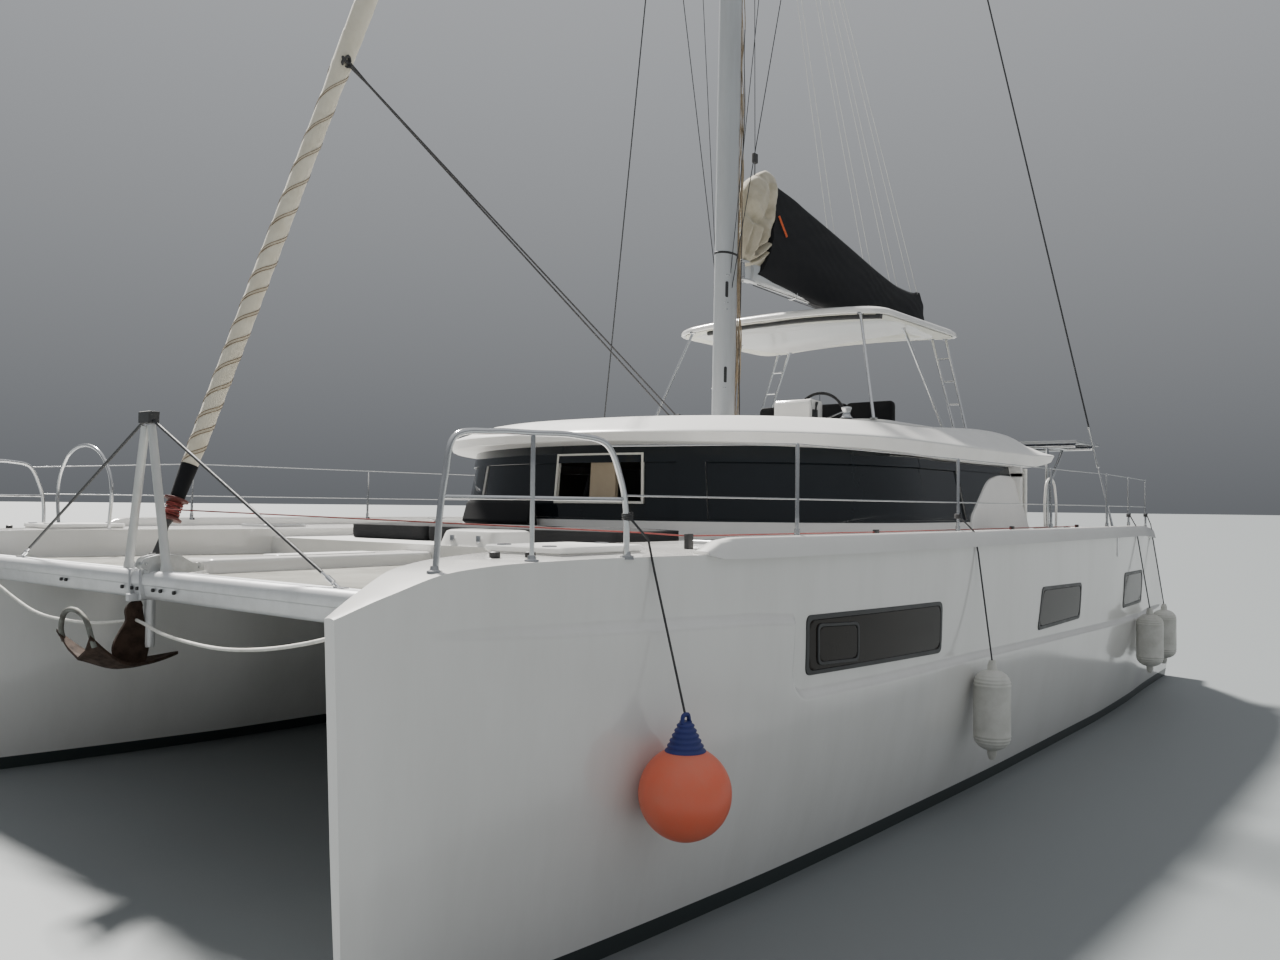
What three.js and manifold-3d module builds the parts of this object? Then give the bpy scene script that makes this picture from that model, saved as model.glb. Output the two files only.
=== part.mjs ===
// A cruising sailing catamaran of the 46 foot class, at full size, afloat.
//
// Lengths are in millimetres. X runs forward, Y to port and Z up. The origin lies on the
// waterline, amidships on the centreline: the boat is held up by the water there.
// The boat is two slim hulls joined by a bridge deck. A rounded saloon with wrap-round glass
// stands on the deck under a wide coachroof, which carries the mast and a raised helm.

import * as THREE from 'three';
import { mergeVertices } from 'three/addons/utils/BufferGeometryUtils.js';
import Module from 'manifold-3d';

const wasm = await Module();
wasm.setup();

// Driving dimensions
const SEAT = 0.3; // gap between two pieces that touch
const HULL_GAP = 2250; // inner face of each hull, from the centreline
const STEM_X = 6950;
const DECK_Z = 2100;
const BRIDGE_UNDER_Z = 850;
const SOLE_Z = 1050;
const FOREDECK_Z = 2020;
const FOREDECK_X = 3850;
const COCKPIT_AFT_X = -5300;
const KEEL_Z = -1350;

const HOUSE_FRONT_X = 2200;
const HOUSE_AFT_X = -2950;
const HOUSE_HALF = 2850;
const HOUSE_TOP_HALF = 2660;
const HOUSE_WALL = 70;
const GLASS_THICK = 12;
const GLASS_LOW_Z = 2240;
const GLASS_HIGH_Z = 2790;

const ROOF_UNDER_Z = 2880;
const ROOF_TOP_Z = 3250;
const ROOF_FRONT_X = 2500;
const ROOF_AFT_X = -4300;
const ROOF_HALF = 2750;
const HELM_SOLE_Z = 2990;

const MAST_X = -720;
const MAST_RAKE = 0.017; // aft run for each unit of height
const MAST_TOP_Z = 22400;
const MAST_CHORD = 340;
const MAST_WIDTH = 220;
const HOUNDS_Z = 20900;
const GOOSENECK_Z = 5280;
const BOOM_END_X = -6280;
const BOOM_DROOP = 0.02; // fall for each unit of run aft

const BEAM_X = 6150;
const BEAM_Z = 1800;
const BEAM_RADIUS = 95;
const CHAIN_X = -2790;
const CHAIN_Y = 3880;

const BIMINI_FRONT_X = -1800;
const BIMINI_AFT_X = -4200;
const BIMINI_HALF = 1500;
const BIMINI_Z = 4700;

// Materials
const GELCOAT = { color: 0xe9e8e4, roughness: 0.25, metalness: 0.0 };
const DARK_GLASS = { color: 0x14181b, roughness: 0.08, metalness: 0.0 };
const ALUMINIUM = { color: 0xb9bbbc, roughness: 0.35, metalness: 0.9 };
const STEEL = { color: 0xc9cbcc, roughness: 0.2, metalness: 1.0 };
const ANTIFOUL = { color: 0x24303a, roughness: 0.8, metalness: 0.0 };
const CANVAS_BLACK = { color: 0x1d1e20, roughness: 0.9, metalness: 0.0 };
const SAILCLOTH = { color: 0xe6dfc9, roughness: 0.8, metalness: 0.0 };
const CUSHION = { color: 0x3a3c3f, roughness: 0.9, metalness: 0.0 };
const NET = { color: 0xdedbd0, roughness: 0.9, metalness: 0.0 };
const IRON = { color: 0x3b2f29, roughness: 0.9, metalness: 0.4 };
const ROPE_WHITE = { color: 0xe4e2da, roughness: 0.9, metalness: 0.0 };
const ENGINE_PAINT = { color: 0x8a8d8e, roughness: 0.5, metalness: 0.2 };
const BRONZE = { color: 0x9a7a45, roughness: 0.35, metalness: 0.9 };
const TEAK = { color: 0x8b6f4e, roughness: 0.7, metalness: 0.0 };
const SOLAR = { color: 0x111a2b, roughness: 0.15, metalness: 0.0 };
const FENDER_ORANGE = { color: 0xd9502a, roughness: 0.45, metalness: 0.0 };
const FENDER_WHITE = { color: 0xd8d6cc, roughness: 0.5, metalness: 0.0 };
const DRUM_RED = { color: 0x6b3329, roughness: 0.6, metalness: 0.2 };

const boat = new THREE.Group();
const SIDES = [['port', 1], ['starboard', -1]];

// Shared shape helpers
const v = (x, y, z) => new THREE.Vector3(x, y, z);

// A closed geometry with merged corners and its faces turned outward.
function outward(source) {
  const bare = new THREE.BufferGeometry();
  bare.setAttribute('position', source.getAttribute('position').clone());
  if (source.index) bare.setIndex(source.index.clone());
  const merged = mergeVertices(bare, 1e-3);
  const p = merged.getAttribute('position');
  const index = Array.from(merged.index.array);
  const [a, b, c] = [v(), v(), v()];
  let volume = 0;
  for (let i = 0; i < index.length; i += 3) {
    a.fromBufferAttribute(p, index[i]);
    b.fromBufferAttribute(p, index[i + 1]);
    c.fromBufferAttribute(p, index[i + 2]);
    volume += a.dot(b.cross(c));
  }
  if (volume < 0) index.reverse();
  merged.setIndex(index);
  return merged;
}

function solidOf(geometry) {
  const g = outward(geometry);
  const vertProperties = new Float32Array(g.getAttribute('position').array);
  const triVerts = new Uint32Array(g.index.array);
  return new wasm.Manifold(new wasm.Mesh({ numProp: 3, vertProperties, triVerts }));
}

function geometryOf(solid) {
  const mesh = solid.getMesh();
  const g = new THREE.BufferGeometry();
  const positions = new Float32Array((mesh.vertProperties.length / mesh.numProp) * 3);
  for (let i = 0; i < positions.length / 3; i += 1) {
    for (let k = 0; k < 3; k += 1) positions[3 * i + k] = mesh.vertProperties[mesh.numProp * i + k];
  }
  g.setAttribute('position', new THREE.BufferAttribute(positions, 3));
  g.setIndex(Array.from(mesh.triVerts));
  return g;
}

const joined = (...list) => geometryOf(list.map(solidOf).reduce((all, one) => all.add(one)));

const cut = (base, ...tools) => geometryOf(
  tools.map(solidOf).reduce((rest, tool) => rest.subtract(tool), solidOf(base)),
);

const common = (a, b) => geometryOf(solidOf(a).intersect(solidOf(b)));

function add(name, geometry, look, place = null) {
  const g = outward(geometry);
  g.computeVertexNormals();
  const mesh = new THREE.Mesh(g, new THREE.MeshStandardMaterial(look));
  mesh.name = name;
  if (place) mesh.position.copy(place);
  boat.add(mesh);
  return mesh;
}

const moved = (geometry, x, y, z) => geometry.clone().translate(x, y, z);

// The same shape on the other side: side is 1 to port and -1 to starboard.
const onSide = (geometry, side) => geometry.clone().scale(1, side, 1);

function box(x0, x1, y0, y1, z0, z1) {
  const g = new THREE.BoxGeometry(x1 - x0, y1 - y0, z1 - z0);
  return g.translate((x0 + x1) / 2, (y0 + y1) / 2, (z0 + z1) / 2);
}

function outline(points) {
  return new THREE.Shape(points.map(([a, b]) => new THREE.Vector2(a, b)));
}

// A plan outline in X and Y, raised from z0 to z1.
function plate(points, z0, z1) {
  const g = new THREE.ExtrudeGeometry(outline(points), { depth: z1 - z0, bevelEnabled: false });
  return g.translate(0, 0, z0);
}

// A side outline in X and Z, stretched across from y0 to y1.
function profile(points, y0, y1) {
  const g = new THREE.ExtrudeGeometry(outline(points), { depth: y1 - y0, bevelEnabled: false });
  g.applyMatrix4(new THREE.Matrix4().makeBasis(v(1, 0, 0), v(0, 0, 1), v(0, 1, 0)));
  return g.translate(0, y0, 0);
}

// A straight round bar from one point to another.
function rod(from, to, radius, sides = 8) {
  const along = to.clone().sub(from);
  const g = new THREE.CylinderGeometry(radius, radius, along.length(), sides);
  g.rotateX(Math.PI / 2);
  const turn = new THREE.Quaternion().setFromUnitVectors(v(0, 0, 1), along.clone().normalize());
  g.applyQuaternion(turn);
  const middle = from.clone().add(to).multiplyScalar(0.5);
  return g.translate(middle.x, middle.y, middle.z);
}

// A bent round bar through the points.
function tube(points, radius, steps, sides = 8) {
  const circle = new THREE.Shape();
  for (let i = 0; i < sides; i += 1) {
    const a = (2 * Math.PI * i) / sides;
    if (i === 0) circle.moveTo(radius, 0);
    else circle.lineTo(radius * Math.cos(a), radius * Math.sin(a));
  }
  const curve = new THREE.CatmullRomCurve3(points, false, 'centripetal');
  return new THREE.ExtrudeGeometry(circle, { steps, bevelEnabled: false, extrudePath: curve });
}

// A closed body through rings of equal count, with a fan from the middle of each end ring.
function loft(rings) {
  const n = rings[0].length;
  const positions = [];
  const index = [];
  for (const ring of rings) for (const p of ring) positions.push(p.x, p.y, p.z);
  for (let r = 0; r + 1 < rings.length; r += 1) {
    for (let i = 0; i < n; i += 1) {
      const [a, b] = [r * n + i, r * n + ((i + 1) % n)];
      index.push(a, a + n, b, b, a + n, b + n);
    }
  }
  for (const [r, order] of [[0, 1], [rings.length - 1, -1]]) {
    const middle = rings[r].reduce((s, p) => s.add(p), v(0, 0, 0)).divideScalar(n);
    const centre = positions.length / 3;
    positions.push(middle.x, middle.y, middle.z);
    for (let i = 0; i < n; i += 1) {
      const [a, b] = [r * n + i, r * n + ((i + 1) % n)];
      if (order > 0) index.push(centre, a, b);
      else index.push(centre, b, a);
    }
  }
  const g = new THREE.BufferGeometry();
  g.setAttribute('position', new THREE.BufferAttribute(new Float32Array(positions), 3));
  g.setIndex(index);
  return g;
}

// Hulls

// Columns: x of the station, height of the deck edge, outer and inner deck edge from the
// centreline, outer and inner edge at the waterline, and depth of the bottom.
const STATIONS = [
  [6950, 1870, 3285, 3215, 3265, 3235, -400],
  [6750, 1960, 3370, 3150, 3310, 3190, -500],
  [6450, 2060, 3475, 3050, 3360, 3140, -550],
  [6100, 2090, 3560, 2930, 3410, 3060, -580],
  [5500, 2100, 3675, 2720, 3470, 2940, -610],
  [4700, 2100, 3790, 2460, 3530, 2800, -640],
  [3900, 2100, 3860, 2250, 3580, 2690, -660],
  [2400, 2100, 3930, 2250, 3630, 2580, -680],
  [0, 2100, 3970, 2250, 3670, 2520, -680],
  [-2400, 2100, 3960, 2250, 3670, 2520, -620],
  [-4200, 2095, 3870, 2250, 3620, 2560, -500],
  [-5350, 2040, 3745, 2250, 3550, 2620, -400],
  [-6950, 2000, 3620, 2450, 3480, 2750, -100],
];
const STEM_RAKE = 90;
const STEM_CURVE = 0.4;
const TOPSIDE_HEIGHTS = [1, 0.82, 0.56, 0.3, 0.1, 0];
const TOPSIDE_FLARE = 2.2;

// One station of the port hull: down the outer side, round the bottom and up the inner side.
function hullRing([x, deckZ, outer, inner, wetOuter, wetInner, bottom]) {
  const middle = (wetOuter + wetInner) / 2;
  const atStem = x === STEM_X;
  const place = (y, z) => {
    const above = STEM_RAKE * (1 - Math.max(z, 0) / deckZ);
    const back = atStem ? above + STEM_CURVE * Math.max(-z, 0) : 0;
    return v(x - back, y, z);
  };
  const ring = TOPSIDE_HEIGHTS.map((t) => {
    const bulge = 1 - (1 - t) ** TOPSIDE_FLARE;
    return place(wetOuter + (outer - wetOuter) * bulge, deckZ * t);
  });
  ring.push(place(middle + 0.86 * (wetOuter - middle), 0.5 * bottom));
  ring.push(place(middle + 0.5 * (wetOuter - middle), 0.86 * bottom));
  ring.push(place(middle, bottom));
  ring.push(place(middle + 0.5 * (wetInner - middle), 0.86 * bottom));
  ring.push(place(middle + 0.86 * (wetInner - middle), 0.5 * bottom));
  ring.push(place(wetInner, 0));
  ring.push(place(wetInner + 0.55 * (inner - wetInner), 0.5 * BRIDGE_UNDER_Z));
  ring.push(place(inner, BRIDGE_UNDER_Z));
  ring.push(place(inner, deckZ));
  return ring;
}

const hullBody = loft(STATIONS.map(hullRing));

// The stern goes down to the bathing platform in steps, with a sloping wall outside them.
const STERN_STEPS = [
  [-5350, 2300], [-5350, 1620], [-5700, 1620], [-5700, 1240], [-6050, 1240],
  [-6050, 860], [-6350, 860], [-6350, 450], [-7200, 450], [-7200, 2300],
];
const STERN_WALL = [[-5270, 2300], [-5270, 2010], [-6500, 700], [-7200, 560], [-7200, 2300]];
const STEP_OUTER_Y = 3420;

// Hatches: x0, x1, y0, y1 of the coaming's inside, floor of the space under it.
const LOCKER = [5050, 5650, 2860, 3380, 1300];
const ENGINE_BAY = [-4900, -4000, 2620, 3380, 150];
const COAMING_WALL = 30;
const COAMING_Z = 2115;
const LID_THICK = 35;

const hatchCoaming = ([x0, x1, y0, y1]) => box(
  x0 - COAMING_WALL, x1 + COAMING_WALL, y0 - COAMING_WALL, y1 + COAMING_WALL, DECK_Z - 100, COAMING_Z,
);
const hatchSpace = ([x0, x1, y0, y1, floor]) => box(x0, x1, y0, y1, floor, COAMING_Z + 100);

// The rudder stock turns in a blind hole in the bottom.
const RUDDER_X = -5750;
const RUDDER_Y = 3100;
const STOCK_RADIUS = 30;
const STOCK_TOP_Z = 50;
const stockHole = rod(
  v(RUDDER_X, RUDDER_Y, -700), v(RUDDER_X, RUDDER_Y, STOCK_TOP_Z + 1), STOCK_RADIUS + 1, 24,
);

const portHull = cut(
  joined(hullBody, hatchCoaming(LOCKER), hatchCoaming(ENGINE_BAY)),
  profile(STERN_STEPS, 2000, STEP_OUTER_Y),
  profile(STERN_WALL, STEP_OUTER_Y - 10, 4300),
  hatchSpace(LOCKER),
  hatchSpace(ENGINE_BAY),
  stockHole,
);

for (const [name, side] of SIDES) {
  add(`${name}_hull`, onSide(portHull, side), GELCOAT);
}

// Keels, saildrives, propellers, rudders and engines

// A streamlined section: half-width for each share of the chord from the nose.
const FOIL = [[0, 0], [0.05, 0.62], [0.2, 0.97], [0.4, 1], [0.7, 0.62], [1, 0.03]];

function foilRing(noseX, chord, half, y, z) {
  const one = FOIL.map(([t, w]) => v(noseX - chord * t, y + half * w, z));
  const other = FOIL.slice(1).reverse().map(([t, w]) => v(noseX - chord * t, y - half * w, z));
  return [...one, ...other];
}

const KEEL_Y = 3095;
const keelBlank = loft([
  foilRing(1900, 3500, 190, KEEL_Y, -400),
  foilRing(1900, 3500, 190, KEEL_Y, -690),
  foilRing(1500, 2900, 130, KEEL_Y, KEEL_Z + 40),
  foilRing(1380, 2700, 80, KEEL_Y, KEEL_Z),
]);
const hullAbove = moved(hullBody, 0, 0, -SEAT);

const DRIVE_X = -4550;
const DRIVE_Y = 3090;
const SHAFT_Z = -880;
const legBlank = joined(
  loft([
    foilRing(DRIVE_X + 150, 330, 55, DRIVE_Y, -300),
    foilRing(DRIVE_X + 150, 330, 50, DRIVE_Y, SHAFT_Z),
  ]),
  rod(v(DRIVE_X + 190, DRIVE_Y, SHAFT_Z), v(DRIVE_X - 180, DRIVE_Y, SHAFT_Z), 60, 12),
);

// The propeller turns on the leg's aft end.
const PROP_X = DRIVE_X - 180 - SEAT;
const PROP_RADIUS = 225;
function propeller() {
  const hub = rod(v(PROP_X, DRIVE_Y, SHAFT_Z), v(PROP_X - 130, DRIVE_Y, SHAFT_Z), 52, 16);
  const blades = [0, 1, 2].map((k) => {
    const blade = new THREE.SphereGeometry(1, 10, 8);
    blade.scale(10, 62, 100).rotateZ(0.45).translate(0, 0, 122);
    blade.rotateX((2 * Math.PI * k) / 3);
    return blade.translate(PROP_X - 65, DRIVE_Y, SHAFT_Z);
  });
  return joined(hub, ...blades);
}

const RUDDER_TOP_Z = -385;
const rudder = joined(
  rod(v(RUDDER_X, RUDDER_Y, RUDDER_TOP_Z - 60), v(RUDDER_X, RUDDER_Y, STOCK_TOP_Z), STOCK_RADIUS, 24),
  loft([
    foilRing(RUDDER_X + 130, 470, 42, RUDDER_Y, RUDDER_TOP_Z),
    foilRing(RUDDER_X + 110, 400, 30, RUDDER_Y, -1100),
  ]),
);

const ENGINE = [-4780, -4080, 2800, 3200, 150 + SEAT, 800];

for (const [name, side] of SIDES) {
  add(`${name}_keel`, onSide(cut(keelBlank, hullAbove), side), ANTIFOUL);
  add(`${name}_saildrive_leg`, onSide(cut(legBlank, hullAbove), side), ALUMINIUM);
  add(`${name}_propeller`, onSide(propeller(), side), BRONZE);
  add(`${name}_rudder`, onSide(rudder, side), ANTIFOUL);
  add(`${name}_engine`, onSide(box(...ENGINE), side), ENGINE_PAINT);
}

// Deck lids lie on the coamings and swing up about their forward edges.
function lid([x0, x1, y0, y1]) {
  const edge = COAMING_WALL + 10;
  return box(x0 - edge, x1 + edge, y0 - edge, y1 + edge, COAMING_Z + SEAT, COAMING_Z + LID_THICK);
}

for (const [name, side] of SIDES) {
  add(`${name}_locker_lid`, onSide(lid(LOCKER), side), GELCOAT);
  add(`${name}_engine_hatch`, onSide(lid(ENGINE_BAY), side), GELCOAT);
}

// Bridge deck: a tray between the hulls with a nose forward and the cockpit aft.
const BRIDGE_HALF = HULL_GAP - SEAT;
const SALOON_FRONT_X = 1150; // forward end of the saloon's sole
const BRIDGE_PROFILE = [
  [COCKPIT_AFT_X, BRIDGE_UNDER_Z], [2600, BRIDGE_UNDER_Z], [3300, 1150], [FOREDECK_X, 1700],
  [FOREDECK_X, FOREDECK_Z], [HOUSE_FRONT_X + 60, FOREDECK_Z], [HOUSE_FRONT_X + 60, DECK_Z],
  [SALOON_FRONT_X, DECK_Z], [SALOON_FRONT_X, SOLE_Z], [-5000, SOLE_Z], [-5000, 1500], [COCKPIT_AFT_X, 1500],
];
add('bridgedeck', profile(BRIDGE_PROFILE, -BRIDGE_HALF, BRIDGE_HALF), GELCOAT);

// Saloon walls: a plan with straight sides and a rounded nose, at a given half-width.
const NOSE_POWER = 2.2;
const NOSE_STEPS = 9;

function nosePlan(frontX, aftX, noseLength, half) {
  const points = [[aftX, half]];
  for (let i = 0; i <= 2 * NOSE_STEPS; i += 1) {
    const a = (Math.PI * i) / (2 * NOSE_STEPS);
    const c = Math.max(0, Math.sin(a)) ** (2 / NOSE_POWER);
    const s = Math.abs(Math.cos(a)) ** (2 / NOSE_POWER) * Math.sign(Math.cos(a));
    points.push([frontX - noseLength + noseLength * c, half * s]);
  }
  points.push([aftX, -half]);
  return points;
}

const planRing = (plan, z) => plan.map(([x, y]) => v(x, y, z));

const HOUSE_LOW_Z = DECK_Z + SEAT;
const HOUSE_TOP_Z = ROOF_UNDER_Z - SEAT;

// The space inside a skin that lies `inset` within the saloon's outer face.
function houseVolume(inset, z0, z1, aftInset = inset) {
  const share = (z) => (z - HOUSE_LOW_Z) / (HOUSE_TOP_Z - HOUSE_LOW_Z);
  const ring = (z) => {
    const half = THREE.MathUtils.lerp(HOUSE_HALF, HOUSE_TOP_HALF, share(z)) - inset;
    const front = THREE.MathUtils.lerp(HOUSE_FRONT_X, HOUSE_FRONT_X - 80, share(z)) - inset;
    return planRing(nosePlan(front, HOUSE_AFT_X + aftInset, 2450, half), z);
  };
  return loft([ring(z0), ring(z1)]);
}

// Glass openings as wedges in plan seen from the middle of the nose: from and to angles are
// measured from straight ahead towards port. The side glass is an opening between two X.
const GLASS_FRONT = ['front_glazing', [[-250, 0], [6000, 3560], [6000, -3560]]];
const GLASS_PORT = ['port_glazing', [
  [-150, 300], [5850, 3800], [5850, 6000], [-1700, 6000], [-1150, 2000], [-1150, 300],
]];
const GLASS_STARBOARD = ['starboard_glazing', GLASS_PORT[1].map(([x, y]) => [x, -y]).reverse()];
const GLAZING = [GLASS_FRONT, GLASS_PORT, GLASS_STARBOARD];

const glassOpening = ([, plan], gap) => plate(plan, GLASS_LOW_Z + gap, GLASS_HIGH_Z - gap);

// The lower aft wall closes the saloon between the hulls, with the door's opening in it.
const DOOR_HALF = 620;
const DOOR_TOP_Z = 2760;
const lowerAftWall = box(
  HOUSE_AFT_X, HOUSE_AFT_X + HOUSE_WALL, -BRIDGE_HALF, BRIDGE_HALF, SOLE_Z + SEAT, DECK_Z + 60,
);
const DOOR_THICK = 35;
const DOOR_FACE_X = HOUSE_AFT_X - 6;
const TRACK_Z = 2800;
const doorTrack = box(
  DOOR_FACE_X - DOOR_THICK - 15, HOUSE_AFT_X + 10,
  -DOOR_HALF * 3 - 60, DOOR_HALF + 60, TRACK_Z, TRACK_Z + 40,
);
const doorOpening = box(HOUSE_AFT_X - 50, HOUSE_AFT_X + 200, -DOOR_HALF, DOOR_HALF, SOLE_Z - 10, DOOR_TOP_Z);
const aftWindow = (side) => box(
  HOUSE_AFT_X - 50, HOUSE_AFT_X + 200,
  Math.min(side * 900, side * 2300), Math.max(side * 900, side * 2300), GLASS_LOW_Z, DOOR_TOP_Z,
);

const deckhouse = cut(
  joined(
    cut(
      houseVolume(0, HOUSE_LOW_Z, HOUSE_TOP_Z),
      houseVolume(HOUSE_WALL, HOUSE_LOW_Z - 50, HOUSE_TOP_Z + 50),
    ),
    lowerAftWall,
    doorTrack,
  ),
  ...GLAZING.map((glass) => glassOpening(glass, 0)),
  doorOpening,
  aftWindow(1),
  aftWindow(-1),
);
add('deckhouse', deckhouse, GELCOAT);

const glassShell = cut(
  houseVolume(20, GLASS_LOW_Z - 40, GLASS_HIGH_Z + 40, 0),
  houseVolume(20 + GLASS_THICK, GLASS_LOW_Z - 80, GLASS_HIGH_Z + 80, 40),
);
function shrunkWedge([name, plan]) {
  const cx = plan.reduce((s, p) => s + p[0], 0) / plan.length;
  const cy = plan.reduce((s, p) => s + p[1], 0) / plan.length;
  return [name, plan.map(([x, y]) => [x + 1.5 * Math.sign(cx - x), y + 1.5 * Math.sign(cy - y)])];
}
for (const glass of GLAZING) {
  add(glass[0], common(glassShell, glassOpening(shrunkWedge(glass), SEAT)), DARK_GLASS);
}

// The sliding door hangs in a track on the saloon's aft wall and slides to starboard.
const doorPanel = box(
  DOOR_FACE_X - DOOR_THICK, DOOR_FACE_X, -DOOR_HALF - 40, DOOR_HALF + 40, SOLE_Z + 6, TRACK_Z - SEAT,
);
add('saloon_door', doorPanel, DARK_GLASS);

// Saloon furniture on the sole.
add('saloon_furniture', joined(
  box(-700, 1100, 1250, 1900, SOLE_Z + SEAT, 1480),
  box(-700, 1100, 1700, 1900, 1400, 1850),
  box(100, 500, 450, 1300, SOLE_Z + SEAT, SOLE_Z + 60),
  box(150, 450, 500, 800, SOLE_Z + 50, 1720),
  box(-300, 900, 300, 1050, 1700, 1740),
), TEAK);

// Coachroof: levels of height, share of the plan's width, and set-back of its front.
const ROOF_LEVELS = [
  [ROOF_UNDER_Z, 0.94, 160], [2960, 0.99, 30], [3040, 1, 0], [3120, 0.97, 60], [3200, 0.88, 260],
  [ROOF_TOP_Z, 0.7, 700],
];
const roofShell = loft(ROOF_LEVELS.map(([z, share, back]) => planRing(
  nosePlan(ROOF_FRONT_X - back, ROOF_AFT_X + back / 3, 2600 - back / 2, ROOF_HALF * share), z,
)));
const HELM_WELL = [-3950, -1350, -1500, 1500];
const roof = cut(roofShell, box(...HELM_WELL, HELM_SOLE_Z, ROOF_TOP_Z + 100));
const ROOF_POST_X = -4150;
const ROOF_POST_Y = 2420;
const roofPosts = [1, -1].map((side) => rod(
  v(ROOF_POST_X, side * ROOF_POST_Y, DECK_Z - 40),
  v(ROOF_POST_X, side * ROOF_POST_Y, ROOF_UNDER_Z + 40), 30, 12,
));
const hullBelow = [1, -1].map((side) => onSide(moved(hullBody, 0, 0, SEAT), side));
add('coachroof', cut(joined(roof, ...roofPosts), ...hullBelow), GELCOAT);

// Raised helm: coaming round the well, console, wheel and seat.
const [WELL_X0, WELL_X1, , WELL_HALF] = HELM_WELL;
const COAMING_HALF = 1750;
const HELM_COAMING_Z = 3400;
const helmCoaming = cut(
  box(WELL_X0 - 120, WELL_X1 + 150, -COAMING_HALF, COAMING_HALF, ROOF_TOP_Z - 90, HELM_COAMING_Z),
  box(WELL_X0 - 200, WELL_X1, -WELL_HALF, WELL_HALF, ROOF_TOP_Z - 200, HELM_COAMING_Z + 50),
  moved(roofShell, 0, 0, SEAT),
);
add('flybridge_coaming', helmCoaming, GELCOAT);

const HELM_Y = 710;
const CONSOLE = [-1700, -1380, HELM_Y - 410, HELM_Y + 90, HELM_SOLE_Z + SEAT, 3680];
add('helm_console', box(...CONSOLE), GELCOAT);

// The wheel turns on the console's aft face about a fore-and-aft axis.
const WHEEL_RADIUS = 350;
const WHEEL_X = CONSOLE[0] - 90;
const WHEEL_Z = 3430;
const rim = new THREE.TorusGeometry(WHEEL_RADIUS, 18, 6, 32);
rim.rotateY(Math.PI / 2).translate(WHEEL_X, HELM_Y, WHEEL_Z);
const spokes = [0, 1, 2, 3, 4].map((k) => {
  const a = (2 * Math.PI * k) / 5;
  const tip = v(WHEEL_X, HELM_Y + WHEEL_RADIUS * Math.sin(a), WHEEL_Z + WHEEL_RADIUS * Math.cos(a));
  return rod(v(WHEEL_X, HELM_Y, WHEEL_Z), tip, 10, 6);
});
const wheelHub = rod(v(WHEEL_X - 25, HELM_Y, WHEEL_Z), v(CONSOLE[0] - SEAT, HELM_Y, WHEEL_Z), 40, 12);
add('steering_wheel', joined(rim, wheelHub, ...spokes), CANVAS_BLACK);

add('flybridge_seat', joined(
  box(-3200, -2700, -WELL_HALF + 450, WELL_HALF - 450, HELM_SOLE_Z + SEAT, 3300),
  box(-3250, -3150, -WELL_HALF + 450, WELL_HALF - 450, HELM_SOLE_Z + SEAT, 3780),
), CUSHION);

// Bimini: a hard top on a tube frame, over the raised helm.
const BIMINI_FRAME_Z = BIMINI_Z - 45;
const POST_RADIUS = 20;
const frameCorner = (x, y) => v(x, y, BIMINI_FRAME_Z);
const biminiFrame = [];
const HEAD_Y = BIMINI_HALF - 250;
const LADDER_X = BIMINI_AFT_X + 50;
const LADDER_FOOT_X = WELL_X0 - 50;
const LADDER_LEGS = [[1700, 1340], [1540, 1140]]; // distance off the middle line at foot and head
for (const side of [1, -1]) {
  const post = (footX, footY, headX, headY) => rod(
    v(footX, side * footY, HELM_COAMING_Z - 40), frameCorner(headX, side * headY), POST_RADIUS,
  );
  biminiFrame.push(rod(
    frameCorner(BIMINI_FRONT_X + 20, side * HEAD_Y), frameCorner(BIMINI_AFT_X - 20, side * HEAD_Y), POST_RADIUS,
  ));
  biminiFrame.push(post(WELL_X1 - 30, 1640, BIMINI_FRONT_X, HEAD_Y), post(-3250, 1690, -2990, HEAD_Y));
  biminiFrame.push(...LADDER_LEGS.map(([foot, head]) => post(LADDER_FOOT_X, foot, LADDER_X, head)));
  for (const share of [0.3, 0.55, 0.8]) {
    const z = THREE.MathUtils.lerp(HELM_COAMING_Z, BIMINI_FRAME_Z, share);
    const x = THREE.MathUtils.lerp(LADDER_FOOT_X, LADDER_X, share);
    const [a, b] = LADDER_LEGS.map(([foot, head]) => side * THREE.MathUtils.lerp(foot, head, share));
    biminiFrame.push(rod(v(x, a, z), v(x, b, z), POST_RADIUS * 0.8));
  }
}
for (const x of [BIMINI_FRONT_X - 200, -3000, LADDER_X]) {
  biminiFrame.push(rod(frameCorner(x, -BIMINI_HALF + 120), frameCorner(x, BIMINI_HALF - 120), POST_RADIUS));
}
const underFrame = box(-4500, -1000, -2000, 2000, ROOF_UNDER_Z, HELM_COAMING_Z + SEAT);
add('bimini_frame', cut(joined(...biminiFrame), underFrame), STEEL);

const biminiPlan = (inset) => {
  const [x0, x1, h] = [BIMINI_AFT_X + inset, BIMINI_FRONT_X - inset, BIMINI_HALF - inset];
  const c = 220;
  return [
    [x0, h - c], [x0 + c, h], [x1 - c, h], [x1, h - c],
    [x1, c - h], [x1 - c, -h], [x0 + c, -h], [x0, c - h],
  ];
};
const BIMINI_LOW_Z = BIMINI_FRAME_Z + POST_RADIUS + SEAT;
add('bimini', loft([
  planRing(biminiPlan(0), BIMINI_LOW_Z),
  planRing(biminiPlan(0), BIMINI_LOW_Z + 60),
  planRing(biminiPlan(250), BIMINI_LOW_Z + 110),
]), GELCOAT);

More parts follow.
